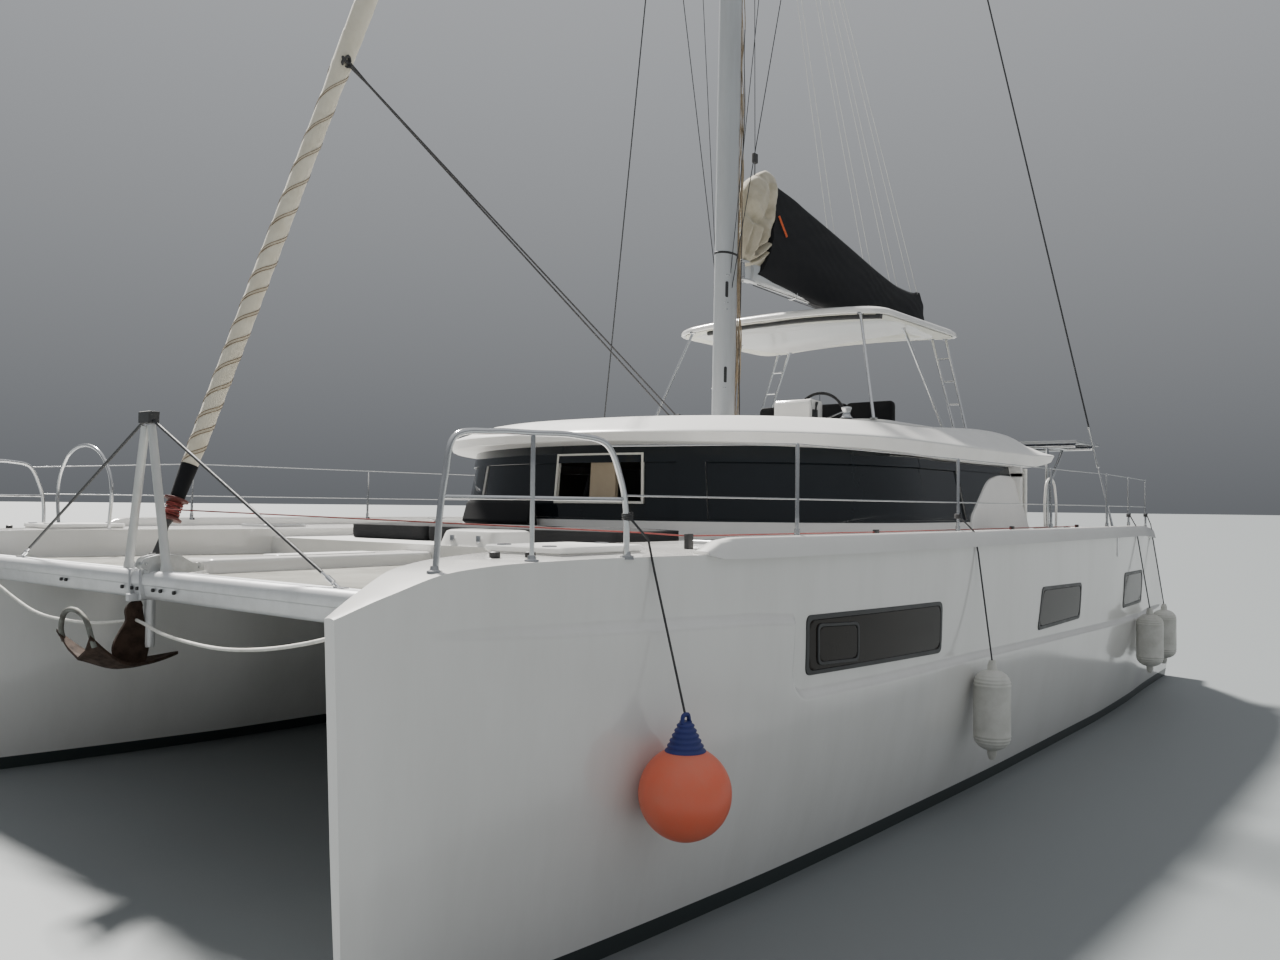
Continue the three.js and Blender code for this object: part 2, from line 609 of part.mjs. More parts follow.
// Cockpit seats and table stand on one moulded plinth.
const COCKPIT_SEAT_TOP = 1480;
add('cockpit_furniture', joined(
  box(-4950, -3500, 1450, 2200, SOLE_Z + SEAT, COCKPIT_SEAT_TOP),
  box(-4950, -4300, -1000, 2200, SOLE_Z + SEAT, COCKPIT_SEAT_TOP),
  box(-4400, -3600, 450, 1500, SOLE_Z + SEAT, SOLE_Z + 60),
  box(-3900, -3700, 500, 700, SOLE_Z + 50, 1720),
  box(-4200, -3450, 150, 1150, 1700, 1740),
), GELCOAT);

// Sun pad on the foredeck
add('foredeck_sunpad', box(2420, 3300, -1750, 1750, FOREDECK_Z + SEAT, FOREDECK_Z + 150), CUSHION);

// Forward crossbeam, longeron, striker, trampolines, anchor gear
const PAD_TOP_Z = BEAM_Z + 150;
const SHANK_TOP_Z = 1690;
const ROLLER_X = BEAM_X + 250;
const rollerParts = [
  box(BEAM_X - 60, ROLLER_X + 60, 60, 75, BEAM_Z + 40, BEAM_Z + 210),
  box(BEAM_X - 60, ROLLER_X + 60, 145, 160, BEAM_Z + 40, BEAM_Z + 210),
  rod(v(ROLLER_X, 65, BEAM_Z + 140), v(ROLLER_X, 155, BEAM_Z + 140), 32, 12),
];
const hullForBeam = (side) => onSide(moved(hullBody, 0, -SEAT, 0), side);
const crossbeam = cut(
  joined(
    rod(v(BEAM_X, -3300, BEAM_Z), v(BEAM_X, 3300, BEAM_Z), BEAM_RADIUS, 12),
    rod(v(BEAM_X - 5, 0, BEAM_Z - 60), v(BEAM_X - 5, 0, BEAM_Z - 430), 38, 10),
    box(BEAM_X - 60, BEAM_X + 40, -35, 35, BEAM_Z + 60, PAD_TOP_Z),
    ...rollerParts,
    box(BEAM_X, BEAM_X + 150, -22, 22, SHANK_TOP_Z + SEAT, BEAM_Z - 60),
  ),
  hullForBeam(1),
  hullForBeam(-1),
);
add('forward_crossbeam', crossbeam, ALUMINIUM);

// The longeron is a moulded walkway: its top stops short of the bow roller, its spine meets the beam.
const WALKWAY_HALF = 180;
const WALKWAY_TOP_Z = 1965;
add('longeron', joined(
  box(FOREDECK_X + SEAT, BEAM_X - BEAM_RADIUS - SEAT, -WALKWAY_HALF, WALKWAY_HALF, BEAM_Z - 40, BEAM_Z + 75),
  box(FOREDECK_X + SEAT, 5820, -WALKWAY_HALF, WALKWAY_HALF, BEAM_Z + 70, WALKWAY_TOP_Z),
), GELCOAT);

const STRIKER_HEAD = v(BEAM_X + 30, 0, 2930);
const beamTop = (y, radius) => v(BEAM_X, y, BEAM_Z + BEAM_RADIUS + radius * 0.2);
const striker = cut(
  joined(
    rod(beamTop(220, 22), STRIKER_HEAD, 24, 10),
    rod(beamTop(-220, 22), STRIKER_HEAD, 24, 10),
    rod(beamTop(2170, 9), STRIKER_HEAD, 9, 8),
    rod(beamTop(-2170, 9), STRIKER_HEAD, 9, 8),
    box(BEAM_X - 25, BEAM_X + 85, -60, 60, 2860, 2990),
  ),
  rod(v(BEAM_X, -3300, BEAM_Z), v(BEAM_X, 3300, BEAM_Z), BEAM_RADIUS + SEAT, 12),
);
add('striker', striker, ALUMINIUM);

// Trampolines, laced between the bridge deck, the crossbeam, the hulls and the longeron.
const NET_Z = 1850;
const NET_INNER = WALKWAY_HALF + 15;
const NET_PLAN = [
  [FOREDECK_X + SEAT, NET_INNER], [BEAM_X - BEAM_RADIUS - 20, NET_INNER], [BEAM_X - BEAM_RADIUS - 20, 2820],
  [5450, 2620], [4700, 2400], [FOREDECK_X + 60, 2220], [FOREDECK_X + SEAT, 2180],
];
for (const [name, side] of SIDES) {
  add(`${name}_trampoline`, onSide(plate(NET_PLAN, NET_Z, NET_Z + 16), side), NET);
}

// Anchor: hung under the beam against the post, with a roll bar over its fluke.
const POST_FRONT_X = BEAM_X - 5 + 36;
const SHANK = [POST_FRONT_X + SEAT, POST_FRONT_X + 115, -16, 16, 1290, SHANK_TOP_Z];
const FLUKE_TIP = v(5940, 0, 1300);
const FLUKE_KEEL = v(6330, 0, 1240);
const FLUKE_REAR = [v(6640, 250, 1450), v(6600, 0, 1330), v(6640, -250, 1450)];
const flukeThick = v(0, 0, 22);
const flukeRing = (rear) => [FLUKE_TIP, FLUKE_KEEL, FLUKE_REAR[1], rear];
const fluke = (side) => {
  const low = flukeRing(FLUKE_REAR[side > 0 ? 0 : 2]);
  return loft([low, low.map((q) => q.clone().add(flukeThick))]);
};
const hoopPoints = [
  [6600, -225, 1440], [6625, -215, 1560], [6640, 0, 1660], [6625, 215, 1560], [6600, 225, 1440],
];
const anchorHoop = tube(hoopPoints.map((q) => v(...q)), 17, 24);
add('anchor', joined(box(...SHANK), fluke(1), fluke(-1), anchorHoop), IRON);

// Bridle ropes: from the eye on each bow's inner face, hanging to the anchor's shank.
const ROPE_RADIUS = 11;
const BRIDLE_PORT = [
  [6592, 3100, 1765], [6569, 2800, 1725], [6541, 2452, 1654], [6492, 2036, 1584], [6421, 1444, 1521],
  [6360, 927, 1508], [6309, 498, 1520], [6250, 120, 1552], [6240, 5, 1562],
];
const shankSpace = box(6000, 6400, -16 - SEAT, 16 + SEAT, 1290, 1690);
const ropeSteps = 70;
const rope = (points) => cut(
  tube(points.map((q) => v(...q)), ROPE_RADIUS, ropeSteps), shankSpace, hullForBeam(1), hullForBeam(-1),
);
add('port_bridle_rope', rope(BRIDLE_PORT), ROPE_WHITE);
const BRIDLE_STARBOARD = [
  [6592, -3100, 1803], [6560, -2700, 1790], [6500, -2100, 1760], [6456, -1739, 1700], [6440, -1600, 1650],
  [6396, -1234, 1540], [6338, -744, 1505], [6298, -408, 1515], [6250, -120, 1546], [6240, -5, 1556],
];
add('starboard_bridle_rope', rope(BRIDLE_STARBOARD), ROPE_WHITE);

// Mast: an oval section, raked aft, stepped on the coachroof.
const mastX = (z) => MAST_X - MAST_RAKE * (z - 3450);
const MAST_SIDES = 16;

function mastRing(z, grow) {
  return Array.from({ length: MAST_SIDES }, (_, i) => {
    const a = (2 * Math.PI * (i + 0.5)) / MAST_SIDES;
    const [c, s] = [Math.cos(a), Math.sin(a)];
    return v(mastX(z) + (MAST_CHORD / 2 + grow) * c, (MAST_WIDTH / 2 + grow) * s, z);
  });
}
const mastTube = (grow) => loft([mastRing(ROOF_TOP_Z + 30, grow), mastRing(MAST_TOP_Z + grow, grow)]);
const mastFoot = box(mastX(3250) - 260, mastX(3250) + 260, -190, 190, ROOF_TOP_Z + SEAT, ROOF_TOP_Z + 40);

// The boom turns on an upright pin behind the mast.
const PIN_X = -1120;
const PIN_RADIUS = 30;
const PIN_LOW_Z = GOOSENECK_Z - 100;
const PIN_HIGH_Z = GOOSENECK_Z + 100;
const FORK_GAP = 0.5;
const FORK_PLATE = 20;
const FORK_LOW_Z = PIN_LOW_Z - FORK_GAP - FORK_PLATE;
const FORK_HIGH_Z = PIN_HIGH_Z + FORK_GAP + FORK_PLATE;
const gooseneck = joined(
  rod(v(PIN_X, 0, PIN_LOW_Z), v(PIN_X, 0, PIN_HIGH_Z), PIN_RADIUS, 16),
  rod(v(PIN_X, 0, PIN_LOW_Z - 45), v(PIN_X, 0, PIN_HIGH_Z + 45), 12, 16),
  box(PIN_X, mastX(GOOSENECK_Z), -22, 22, PIN_LOW_Z + 20, PIN_HIGH_Z - 20),
);
const hounds = box(mastX(HOUNDS_Z) - 60, mastX(HOUNDS_Z) + 230, -140, 140, HOUNDS_Z, HOUNDS_Z + 60);
const SPREADER_LEVELS = [[10800, 1130], [15900, 950]];
const spreaders = SPREADER_LEVELS.flatMap(([z, half]) => [1, -1].map((side) => rod(
  v(mastX(z), 0, z), v(mastX(z) - 90, side * half, z + 60), 26, 8,
)));
add('mast', joined(mastTube(0), mastFoot, gooseneck, hounds, ...spreaders), ALUMINIUM);

// Boom with its fork, the folded sail at its fore end and the bag that holds the rest.
const boomZ = (x) => GOOSENECK_Z + 10 - BOOM_DROOP * (PIN_X - x);
const BOOM_START_X = -1250;
const boomRing = (x, halfWide, halfHigh) => Array.from({ length: 12 }, (_, i) => {
  const a = (2 * Math.PI * (i + 0.5)) / 12;
  return v(x, halfWide * Math.cos(a), boomZ(x) + halfHigh * Math.sin(a));
});
const forkPlate = (z0, z1) => cut(
  joined(box(BOOM_START_X - 60, PIN_X, -55, 55, z0, z1), rod(v(PIN_X, 0, z0), v(PIN_X, 0, z1), 55, 20)),
  rod(v(PIN_X, 0, z0 - 5), v(PIN_X, 0, z1 + 5), 12.6, 16),
);
const boom = joined(
  loft([boomRing(BOOM_START_X, 85, 125), boomRing(-3200, 95, 130), boomRing(BOOM_END_X, 80, 105)]),
  box(BOOM_START_X - 60, BOOM_START_X + 15, -55, 55, FORK_LOW_Z, FORK_HIGH_Z),
  forkPlate(FORK_LOW_Z, PIN_LOW_Z - FORK_GAP),
  forkPlate(PIN_HIGH_Z + FORK_GAP, FORK_HIGH_Z),
);
add('boom', boom, ALUMINIUM);

const boomTop = (x) => boomZ(x) + 90;
const BAG_HALF = 165;
const BAG_TOP = [[-6240, 5840], [-5900, 5790], [-5040, 5860], [-3850, 6110], [-2840, 6310], [-1880, 6500]];
const boomBed = loft([
  boomRing(BOOM_START_X + 5, 85 + SEAT, 125 + SEAT), boomRing(-3200, 95 + SEAT, 130 + SEAT),
  boomRing(BOOM_END_X - 5, 80 + SEAT, 105 + SEAT),
]);
const bagFront = [[-1890, 6480], [-1530, 5600]];
const bagFoot = [[-1530, boomTop(-1530) - 60], [-3200, boomZ(-3200) - 110], [-6240, boomZ(-6240) - 90]];
const bagBlank = profile([...bagFoot, ...BAG_TOP, ...bagFront], -BAG_HALF, BAG_HALF);
add('sail_bag', cut(bagBlank, boomBed), CANVAS_BLACK);

const SAIL_HALF = 95;
const SAIL_FRONT = [
  [-1530 + 8, boomTop(-1530) - 40], [-1530 + 8, 5600], [-1880, 6490], [-1860, 6570], [-1690, 6650],
  [-1480, 6600], [-1060, 6330], [-1045, 5750], [-1110, 5560], [-1330, 5445],
];
const bagGrown = moved(bagBlank, SEAT, 0, 0);
add('mainsail_stack', cut(profile(SAIL_FRONT, -SAIL_HALF, SAIL_HALF), boomBed, bagGrown), SAILCLOTH);

// Forestay from the beam's pad to the mast, with the furling drum and the rolled sail on it.
const STAY_RADIUS = 8;
const STAY_LOW = v(6151, 0, 1890);
const STAY_HIGH = v(mastX(HOUNDS_Z) + 200, 0, HOUNDS_Z + 20);
const stayAt = (z) => STAY_LOW.clone().lerp(STAY_HIGH, (z - STAY_LOW.z) / (STAY_HIGH.z - STAY_LOW.z));
const padGrown = box(BEAM_X - 60 - SEAT, BEAM_X + 40 + SEAT, -40, 40, BEAM_Z, PAD_TOP_Z + SEAT);
const houndsGrown = box(
  mastX(HOUNDS_Z) - 60, mastX(HOUNDS_Z) + 230 + SEAT, -140 - SEAT, 140 + SEAT, HOUNDS_Z - SEAT, HOUNDS_Z + 90,
);
const forestay = rod(STAY_LOW, STAY_HIGH, STAY_RADIUS, 8);
add('forestay', cut(forestay, padGrown, houndsGrown), STEEL);

const stayBore = rod(STAY_LOW, STAY_HIGH, STAY_RADIUS + SEAT, 8);
const drumBlank = joined(
  rod(stayAt(2235), stayAt(2255), 82, 20),
  rod(stayAt(2250), stayAt(2370), 62, 20),
  rod(stayAt(2365), stayAt(2385), 82, 20),
);
add('furler_drum', cut(drumBlank, stayBore), DRUM_RED);

// Rolled sail: height on the stay, and radius.
const GENOA = [
  [2385 + 5 * SEAT, 50], [2700, 64], [4500, 96], [7200, 132], [10000, 138], [14000, 112], [18000, 70],
  [20000, 30],
];
const stayTurn = new THREE.Quaternion().setFromUnitVectors(
  v(0, 0, 1), STAY_HIGH.clone().sub(STAY_LOW).normalize(),
);
const genoaBlank = loft(GENOA.map(([z, radius]) => Array.from({ length: 14 }, (_, i) => {
  const a = (2 * Math.PI * i) / 14;
  return v(radius * Math.cos(a), radius * Math.sin(a), 0).applyQuaternion(stayTurn).add(stayAt(z));
})));
add('furled_genoa', cut(genoaBlank, stayBore), SAILCLOTH);

// Cap shrouds from the hull's side to the hounds, with a turnbuckle: share of the run, and radius.
const SHROUD_STEPS = [
  [0, 16], [0.019, 16], [0.021, 8], [0.04, 8], [0.042, 17], [0.066, 17], [0.068, 8], [1, 8],
];
for (const [k, [name, side]] of SIDES.entries()) {
  const foot = v(CHAIN_X, side * CHAIN_Y, DECK_Z - 40);
  const head = v(mastX(HOUNDS_Z), side * 132, HOUNDS_Z + 20);
  const turn = new THREE.Quaternion().setFromUnitVectors(v(0, 0, 1), head.clone().sub(foot).normalize());
  const shroud = loft(SHROUD_STEPS.map(([share, radius]) => Array.from({ length: 8 }, (_, i) => {
    const a = (2 * Math.PI * i) / 8;
    const q = v(radius * Math.cos(a), radius * Math.sin(a), 0).applyQuaternion(turn);
    return q.add(foot.clone().lerp(head, share));
  })));
  add(`${name}_cap_shroud`, cut(shroud, hullBelow[k], houndsGrown), STEEL);
}

// Rails: a bent pulpit at each bow, stanchions, a stern post and two lifelines, all joined.
const PULPIT = [
  [6480, 3370, 2000], [6430, 3375, 2500], [6390, 3390, 2680], [6200, 3440, 2712], [5990, 3500, 2715],
  [5750, 3560, 2715], [5570, 3605, 2680], [5470, 3620, 2500], [5420, 3625, 2000],
];
const MID_RAIL = [[6440, 3375, 2400], [5990, 3500, 2400], [5460, 3620, 2400]];
const STANCHIONS = [[3900, 3740], [1560, 3830], [-700, 3840], [-2500, 3870], [-3800, 3770], [-5120, 3650]];
const RAIL_TOP_Z = 2765;
const RAIL_MID_Z = 2420;
const RAIL_START = [5440, 3622];

function rails(grow = 0) {
  const bars = [
    tube(PULPIT.map((q) => v(...q)), 16 + grow, 40),
    rod(v(5990, 3500, 2000), v(5990, 3500, 2715), 12 + grow),
    tube(MID_RAIL.map((q) => v(...q)), 10 + grow, 8, 6),
    ...STANCHIONS.map(([x, y]) => rod(v(x, y, DECK_Z - 80), v(x, y, RAIL_TOP_Z + 8), 13 + grow)),
  ];
  const line = [RAIL_START, ...STANCHIONS];
  for (const [z, first] of [[RAIL_TOP_Z, 2560], [RAIL_MID_Z, RAIL_MID_Z]]) {
    for (let i = 0; i + 1 < line.length; i += 1) {
      const from = v(line[i][0], line[i][1], i === 0 ? first : z);
      bars.push(rod(from, v(line[i + 1][0], line[i + 1][1], z), 6 + grow, 6));
    }
  }
  return bars;
}
const railBars = joined(...rails());
for (const [name, side] of SIDES) {
  add(`${name}_rails`, onSide(cut(railBars, hullBelow[0]), side), STEEL);
}

// Stern arch on the aft decks, with a flat solar panel on it.
const ARCH_X = -5200;
const ARCH_POST_Y = 2370;
const ARCH_HALF = 2950;
const ARCH_Z = 3250;
const archBars = [
  rod(v(ARCH_X, -ARCH_HALF, ARCH_Z), v(ARCH_X, ARCH_HALF, ARCH_Z), 30, 10),
  rod(v(ARCH_X - 800, -ARCH_HALF, ARCH_Z), v(ARCH_X - 800, ARCH_HALF, ARCH_Z), 30, 10),
];
for (const side of [1, -1]) {
  const y = side * ARCH_POST_Y;
  archBars.push(rod(v(ARCH_X, y, DECK_Z - 150), v(ARCH_X, y, ARCH_Z), 28, 10));
  archBars.push(rod(v(ARCH_X, y, ARCH_Z), v(ARCH_X - 800, y, ARCH_Z), 28, 10));
  archBars.push(rod(v(ARCH_X, y, ARCH_Z - 600), v(ARCH_X - 700, y, ARCH_Z), 22, 8));
}
add('stern_arch', cut(joined(...archBars), ...hullBelow), STEEL);
add('solar_panel', box(ARCH_X - 950, ARCH_X + 120, -3030, 3030, ARCH_Z + 30 + SEAT, ARCH_Z + 70), SOLAR);

// Fenders hang on the port side, each with its line to the rail.
// Columns: name, x, gap to the topside beside it, height of the middle, radius, half length, look.
function hullSideAt(x, z) {
  const i = STATIONS.findIndex((s) => s[0] <= x);
  const halves = [STATIONS[i - 1], STATIONS[i]].map(([, deckZ, outer, , wetOuter]) => {
    const bulge = 1 - (1 - Math.min(z / deckZ, 1)) ** TOPSIDE_FLARE;
    return wetOuter + (outer - wetOuter) * bulge;
  });
  return THREE.MathUtils.mapLinear(x, STATIONS[i - 1][0], STATIONS[i][0], ...halves);
}
const HOOK_Z = 2300;
const railSpace = joined(...rails(SEAT));
const FENDERS = [
  ['forward_fender', 5250, 900, 240, 0, FENDER_ORANGE, [5420, 3625]],
  ['middle_fender', 1360, 780, 145, 320, FENDER_WHITE, [1560, 3830]],
  ['quarter_fender', -3850, 840, 150, 310, FENDER_WHITE, [-3800, 3770]],
  ['aft_fender', -5050, 800, 145, 310, FENDER_WHITE, [-5120, 3650]],
];
for (const [name, x, z, radius, half, look, [postX, postY]] of FENDERS) {
  const y = hullSideAt(x, z + half) + radius + SEAT;
  const body = new THREE.SphereGeometry(radius, 16, 10);
  body.rotateX(Math.PI / 2);
  const pieces = half > 0
    ? [rod(v(x, y, z - half + radius), v(x, y, z + half - radius), radius, 16),
      moved(body, x, y, z - half + radius), moved(body, x, y, z + half - radius)]
    : [moved(body, x, y, z)];
  const top = z + Math.max(half, radius);
  const edge = v(x, hullSideAt(x, DECK_Z) + 12, DECK_Z + 20);
  pieces.push(rod(v(x, y, top - 30), v(x, y, top + 90), radius * 0.28, 10));
  pieces.push(rod(v(x, y, top + 60), edge, 7, 6));
  pieces.push(rod(edge, v(postX, postY, HOOK_Z), 7, 6));
  add(name, cut(joined(...pieces), railSpace), look);
}

export default boat;
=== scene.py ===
# A cruising sailing catamaran lying afloat, dressed piece by piece as a yard puts one together:
# hulls, bridge deck, saloon, coachroof and helm, foredeck gear, mast, sails, rigging and rails.
# Lengths are in metres; X runs forward, Y to port, Z up, and z = 0 is the water surface.

import bpy
import numpy as np
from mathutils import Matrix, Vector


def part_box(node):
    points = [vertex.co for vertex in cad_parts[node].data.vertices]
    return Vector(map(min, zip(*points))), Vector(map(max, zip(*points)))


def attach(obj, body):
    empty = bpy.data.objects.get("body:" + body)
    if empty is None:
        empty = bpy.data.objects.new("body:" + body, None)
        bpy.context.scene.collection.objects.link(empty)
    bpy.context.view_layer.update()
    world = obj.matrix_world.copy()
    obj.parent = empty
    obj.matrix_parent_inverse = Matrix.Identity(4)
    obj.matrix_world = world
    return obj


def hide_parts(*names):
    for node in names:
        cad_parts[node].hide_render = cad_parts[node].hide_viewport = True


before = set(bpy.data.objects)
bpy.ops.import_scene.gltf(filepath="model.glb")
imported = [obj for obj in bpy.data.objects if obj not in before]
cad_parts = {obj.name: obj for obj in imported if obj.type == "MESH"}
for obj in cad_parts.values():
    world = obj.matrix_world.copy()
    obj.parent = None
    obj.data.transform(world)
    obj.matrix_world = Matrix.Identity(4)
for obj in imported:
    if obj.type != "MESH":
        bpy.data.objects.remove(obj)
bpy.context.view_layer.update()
SIDES = (("port", 1.0), ("starboard", -1.0))

# The view: an observer's eye off the port bow, a little above deck height.
EYE = np.array([9.57, 7.07, 2.37])
YAW, PITCH, ROLL = np.radians([219.03, 1.40, 0.61])
ahead = np.array([np.cos(PITCH) * np.cos(YAW), np.cos(PITCH) * np.sin(YAW), np.sin(PITCH)])
level = np.array([np.sin(YAW), -np.cos(YAW), 0.0])
above = np.cross(level, ahead)
right = level * np.cos(ROLL) + above * np.sin(ROLL)
upward = above * np.cos(ROLL) - level * np.sin(ROLL)
camera = bpy.data.objects.new("camera", bpy.data.cameras.new("camera"))
bpy.context.scene.collection.objects.link(camera)
camera.data.sensor_width = 36.0
camera.data.lens = 29.25
camera.data.clip_end = 2000.0
turned = np.eye(4)
turned[:3, 0], turned[:3, 1], turned[:3, 2], turned[:3, 3] = right, upward, -ahead, EYE
camera.matrix_world = turned.T
bpy.context.scene.camera = camera

# Studio light: a pale dome that is brighter overhead, and one broad sun from the starboard bow.
world = bpy.data.worlds.new("dome")
bpy.context.scene.world = world
world.use_nodes = True
dome = world.node_tree
direction = dome.nodes.new("ShaderNodeTexCoord")
split = dome.nodes.new("ShaderNodeSeparateXYZ")
ramp = dome.nodes.new("ShaderNodeValToRGB")
dome.links.new(direction.outputs["Generated"], split.inputs[0])
dome.links.new(split.outputs["Z"], ramp.inputs[0])
dome.links.new(ramp.outputs["Color"], dome.nodes["Background"].inputs["Color"])
ramp.color_ramp.elements[0].position = 0.0
ramp.color_ramp.elements[0].color = (0.17, 0.18, 0.195, 1.0)
ramp.color_ramp.elements[1].position = 0.8
ramp.color_ramp.elements[1].color = (0.80, 0.82, 0.85, 1.0)
dome.nodes["Background"].inputs["Strength"].default_value = 0.80
sun = bpy.data.objects.new("sun", bpy.data.lights.new("sun", "SUN"))
bpy.context.scene.collection.objects.link(sun)
sun.data.energy = 11.5
sun.data.angle = 0.12
sun.data.color = (1.0, 0.97, 0.92)
sun.rotation_euler = (np.radians(38.0), np.radians(10.0), np.radians(-32.0))

# The floor: a plain pale sheet where the water's surface would be.
floor_mesh = bpy.data.meshes.new("floor")
reach = 900.0
floor_mesh.from_pydata(
    [(-reach, -reach, 0), (reach, -reach, 0), (reach, reach, 0), (-reach, reach, 0)], [], [(0, 1, 2, 3)]
)
floor = bpy.data.objects.new("floor", floor_mesh)
bpy.context.scene.collection.objects.link(floor)
floor_look = bpy.data.materials.new("floor")
floor_look.use_nodes = True
floor_look.node_tree.nodes["Principled BSDF"].inputs["Base Color"].default_value = (0.205, 0.222, 0.228, 1)
floor_look.node_tree.nodes["Principled BSDF"].inputs["Roughness"].default_value = 0.55
floor_mesh.materials.append(floor_look)


# Bridle ropes: two white three-strand ropes, 22 mm thick, from the anchor's shank to the inner face
# of each bow. They hang slack between the two.
def fair_path(points, step):
    """Fair curve through the points: a cubic in each span whose slope at a point is that of the chord
    between its two neighbours, sampled about every step."""
    p = np.asarray(points, float)
    span = np.linalg.norm(np.diff(p, axis=0), axis=1)
    t = np.concatenate([[0.0], np.cumsum(span)])
    slope = np.gradient(p, t, axis=0)
    s = np.linspace(0.0, t[-1], max(2, int(np.ceil(t[-1] / step)) + 1))
    i = np.clip(np.searchsorted(t, s, side="right") - 1, 0, len(span) - 1)
    h = span[i][:, None]
    u = ((s - t[i]) / span[i])[:, None]
    return (
        p[i] * (2 * u**3 - 3 * u**2 + 1) + slope[i] * h * (u**3 - 2 * u**2 + u)
        + p[i + 1] * (3 * u**2 - 2 * u**3) + slope[i + 1] * h * (u**3 - u**2)
    )


def square_to(path, flat=None):
    """Two directions square to the path's run at each point: one across the plane that the path lies
    nearest to, and one within it."""
    run = np.gradient(path, axis=0)
    run /= np.linalg.norm(run, axis=1, keepdims=True)
    if flat is None:
        flat = np.linalg.svd(path - path.mean(0))[2][2]
    within = np.cross(np.broadcast_to(flat, run.shape), run)
    within /= np.linalg.norm(within, axis=1, keepdims=True)
    return np.cross(run, within), within


def loft(rings):
    """Closed body through rings of equal count: quads between neighbouring rings, and each end ring
    filled by one face. The sign of the volume that the faces enclose turns them all outward."""
    rings = np.asarray(rings, float)
    count, sides = rings.shape[:2]
    i, j = np.meshgrid(np.arange(count - 1), np.arange(sides), indexing="ij")
    a, b = i * sides + j, i * sides + (j + 1) % sides
    quads = np.stack([a, b, b + sides, a + sides], -1).reshape(-1, 4)
    k = np.arange(sides)
    last = (count - 1) * sides
    points = rings.reshape(-1, 3)
    fans = np.concatenate([
        quads[:, :3], quads[:, [0, 2, 3]], np.stack([0 * k[1:-1], k[2:], k[1:-1]], -1),
        last + np.stack([0 * k[1:-1], k[1:-1], k[2:]], -1),
    ])
    p = points[fans] - points.mean(0)
    volume = np.einsum("ij,ij->", p[:, 0], np.cross(p[:, 1], p[:, 2]))
    faces = quads.tolist() + [k[::-1].tolist(), (last + k).tolist()]
    return points, faces if volume > 0 else [face[::-1] for face in faces]


def sweep(path, sections, flat=None):
    """Closed body: at each point of the path stands a section, an array of offsets across and within
    the path's plane."""
    path = np.asarray(path, float)
    across, within = square_to(path, flat)
    sections = np.broadcast_to(sections, (len(path),) + np.shape(sections)[-2:])
    return loft(path[:, None] + sections[..., :1] * across[:, None] + sections[..., 1:] * within[:, None])


def angles(count):
    """Angles evenly spread once round, from 0 on."""
    return np.linspace(0, 2 * np.pi, count, endpoint=False)


def bar(path, radius, sides=10):
    """Round bar: a circle, whose radius may change along the path, carried along it."""
    turn = angles(sides)
    circle = np.stack([np.cos(turn), np.sin(turn)], -1)
    return sweep(path, np.broadcast_to(radius, len(path))[:, None, None] * circle)


def upright(x, y, heights, radius, sides=12):
    """Round post at one place in plan, whose radius may change with its height."""
    return bar([(x, y, z) for z in heights], radius, sides)


def laid_rope(path, radius, lay, sides=12):
    """Three-strand rope: a circle whose radius swells three times round it, the swells turning once
    in each length of lay along the path."""
    run = np.concatenate([[0.0], np.cumsum(np.linalg.norm(np.diff(path, axis=0), axis=1))])
    turn = angles(sides)
    phase = 3 * turn[None, :] + 2 * np.pi * 3 * run[:, None] / lay
    swell = radius * (0.93 + 0.09 * np.abs(np.cos(phase / 2)))
    circle = np.stack([np.cos(turn), np.sin(turn)], -1)
    return sweep(path, swell[..., None] * circle)


def together(*bodies):
    """Several bodies as one list of points and one of faces."""
    points, faces, base = [], [], 0
    for p, f in bodies:
        points.append(np.asarray(p, float))
        faces += [[k + base for k in face] for face in f]
        base += len(p)
    return np.concatenate(points), faces


def mirrored(body, side):
    """The same body on the side given by 1 to port or -1 to starboard, its faces still outward."""
    points, faces = body
    points = np.asarray(points) * (1.0, side, 1.0)
    return points, faces if side > 0 else [face[::-1] for face in faces]


def piece(name, body, look, rides="boat", slot=None, stands_for=(), sharp=35.0):
    """One object of the boat: its mesh from one body or a list of them, its looks, the body that it
    moves with, and the solids that it stands for. The slot, its finish in the record, is not used."""
    points, faces = together(*body) if isinstance(body, list) else body
    mesh = bpy.data.meshes.new(name)
    mesh.from_pydata(np.asarray(points).tolist(), [], faces)
    mesh.polygons.foreach_set("use_smooth", np.ones(len(mesh.polygons), bool))
    mesh.set_sharp_from_angle(angle=np.radians(sharp))
    obj = bpy.data.objects.new(name, mesh)
    bpy.context.scene.collection.objects.link(obj)
    mesh.materials.append(look)
    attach(obj, rides)
    if stands_for:
        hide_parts(*stands_for)
    return obj


def pair(name, body, look, **facts):
    """The same piece on both sides, each standing for its own side's solids."""
    nodes = facts.pop("stands_for", ())
    rides = facts.pop("rides", "boat")
    whole = together(*body) if isinstance(body, list) else body
    made = []
    for side, sign in SIDES:
        made.append(piece(
            f"{side}_{name}", mirrored(whole, sign), look, stands_for=[f"{side}_{n}" for n in nodes],
            rides=rides if rides == "boat" else f"{side}_{rides}", **facts,
        ))
    return made


def shade_group(name, inputs, outputs):
    """An empty node group with named inputs and outputs, and its two end nodes."""
    tree = bpy.data.node_groups.new(name, "ShaderNodeTree")
    for label, kind, value in inputs:
        socket = tree.interface.new_socket(name=label, in_out="INPUT", socket_type=kind)
        socket.default_value = value
    for label, kind in outputs:
        tree.interface.new_socket(name=label, in_out="OUTPUT", socket_type=kind)
    return tree, tree.nodes.new("NodeGroupInput"), tree.nodes.new("NodeGroupOutput")


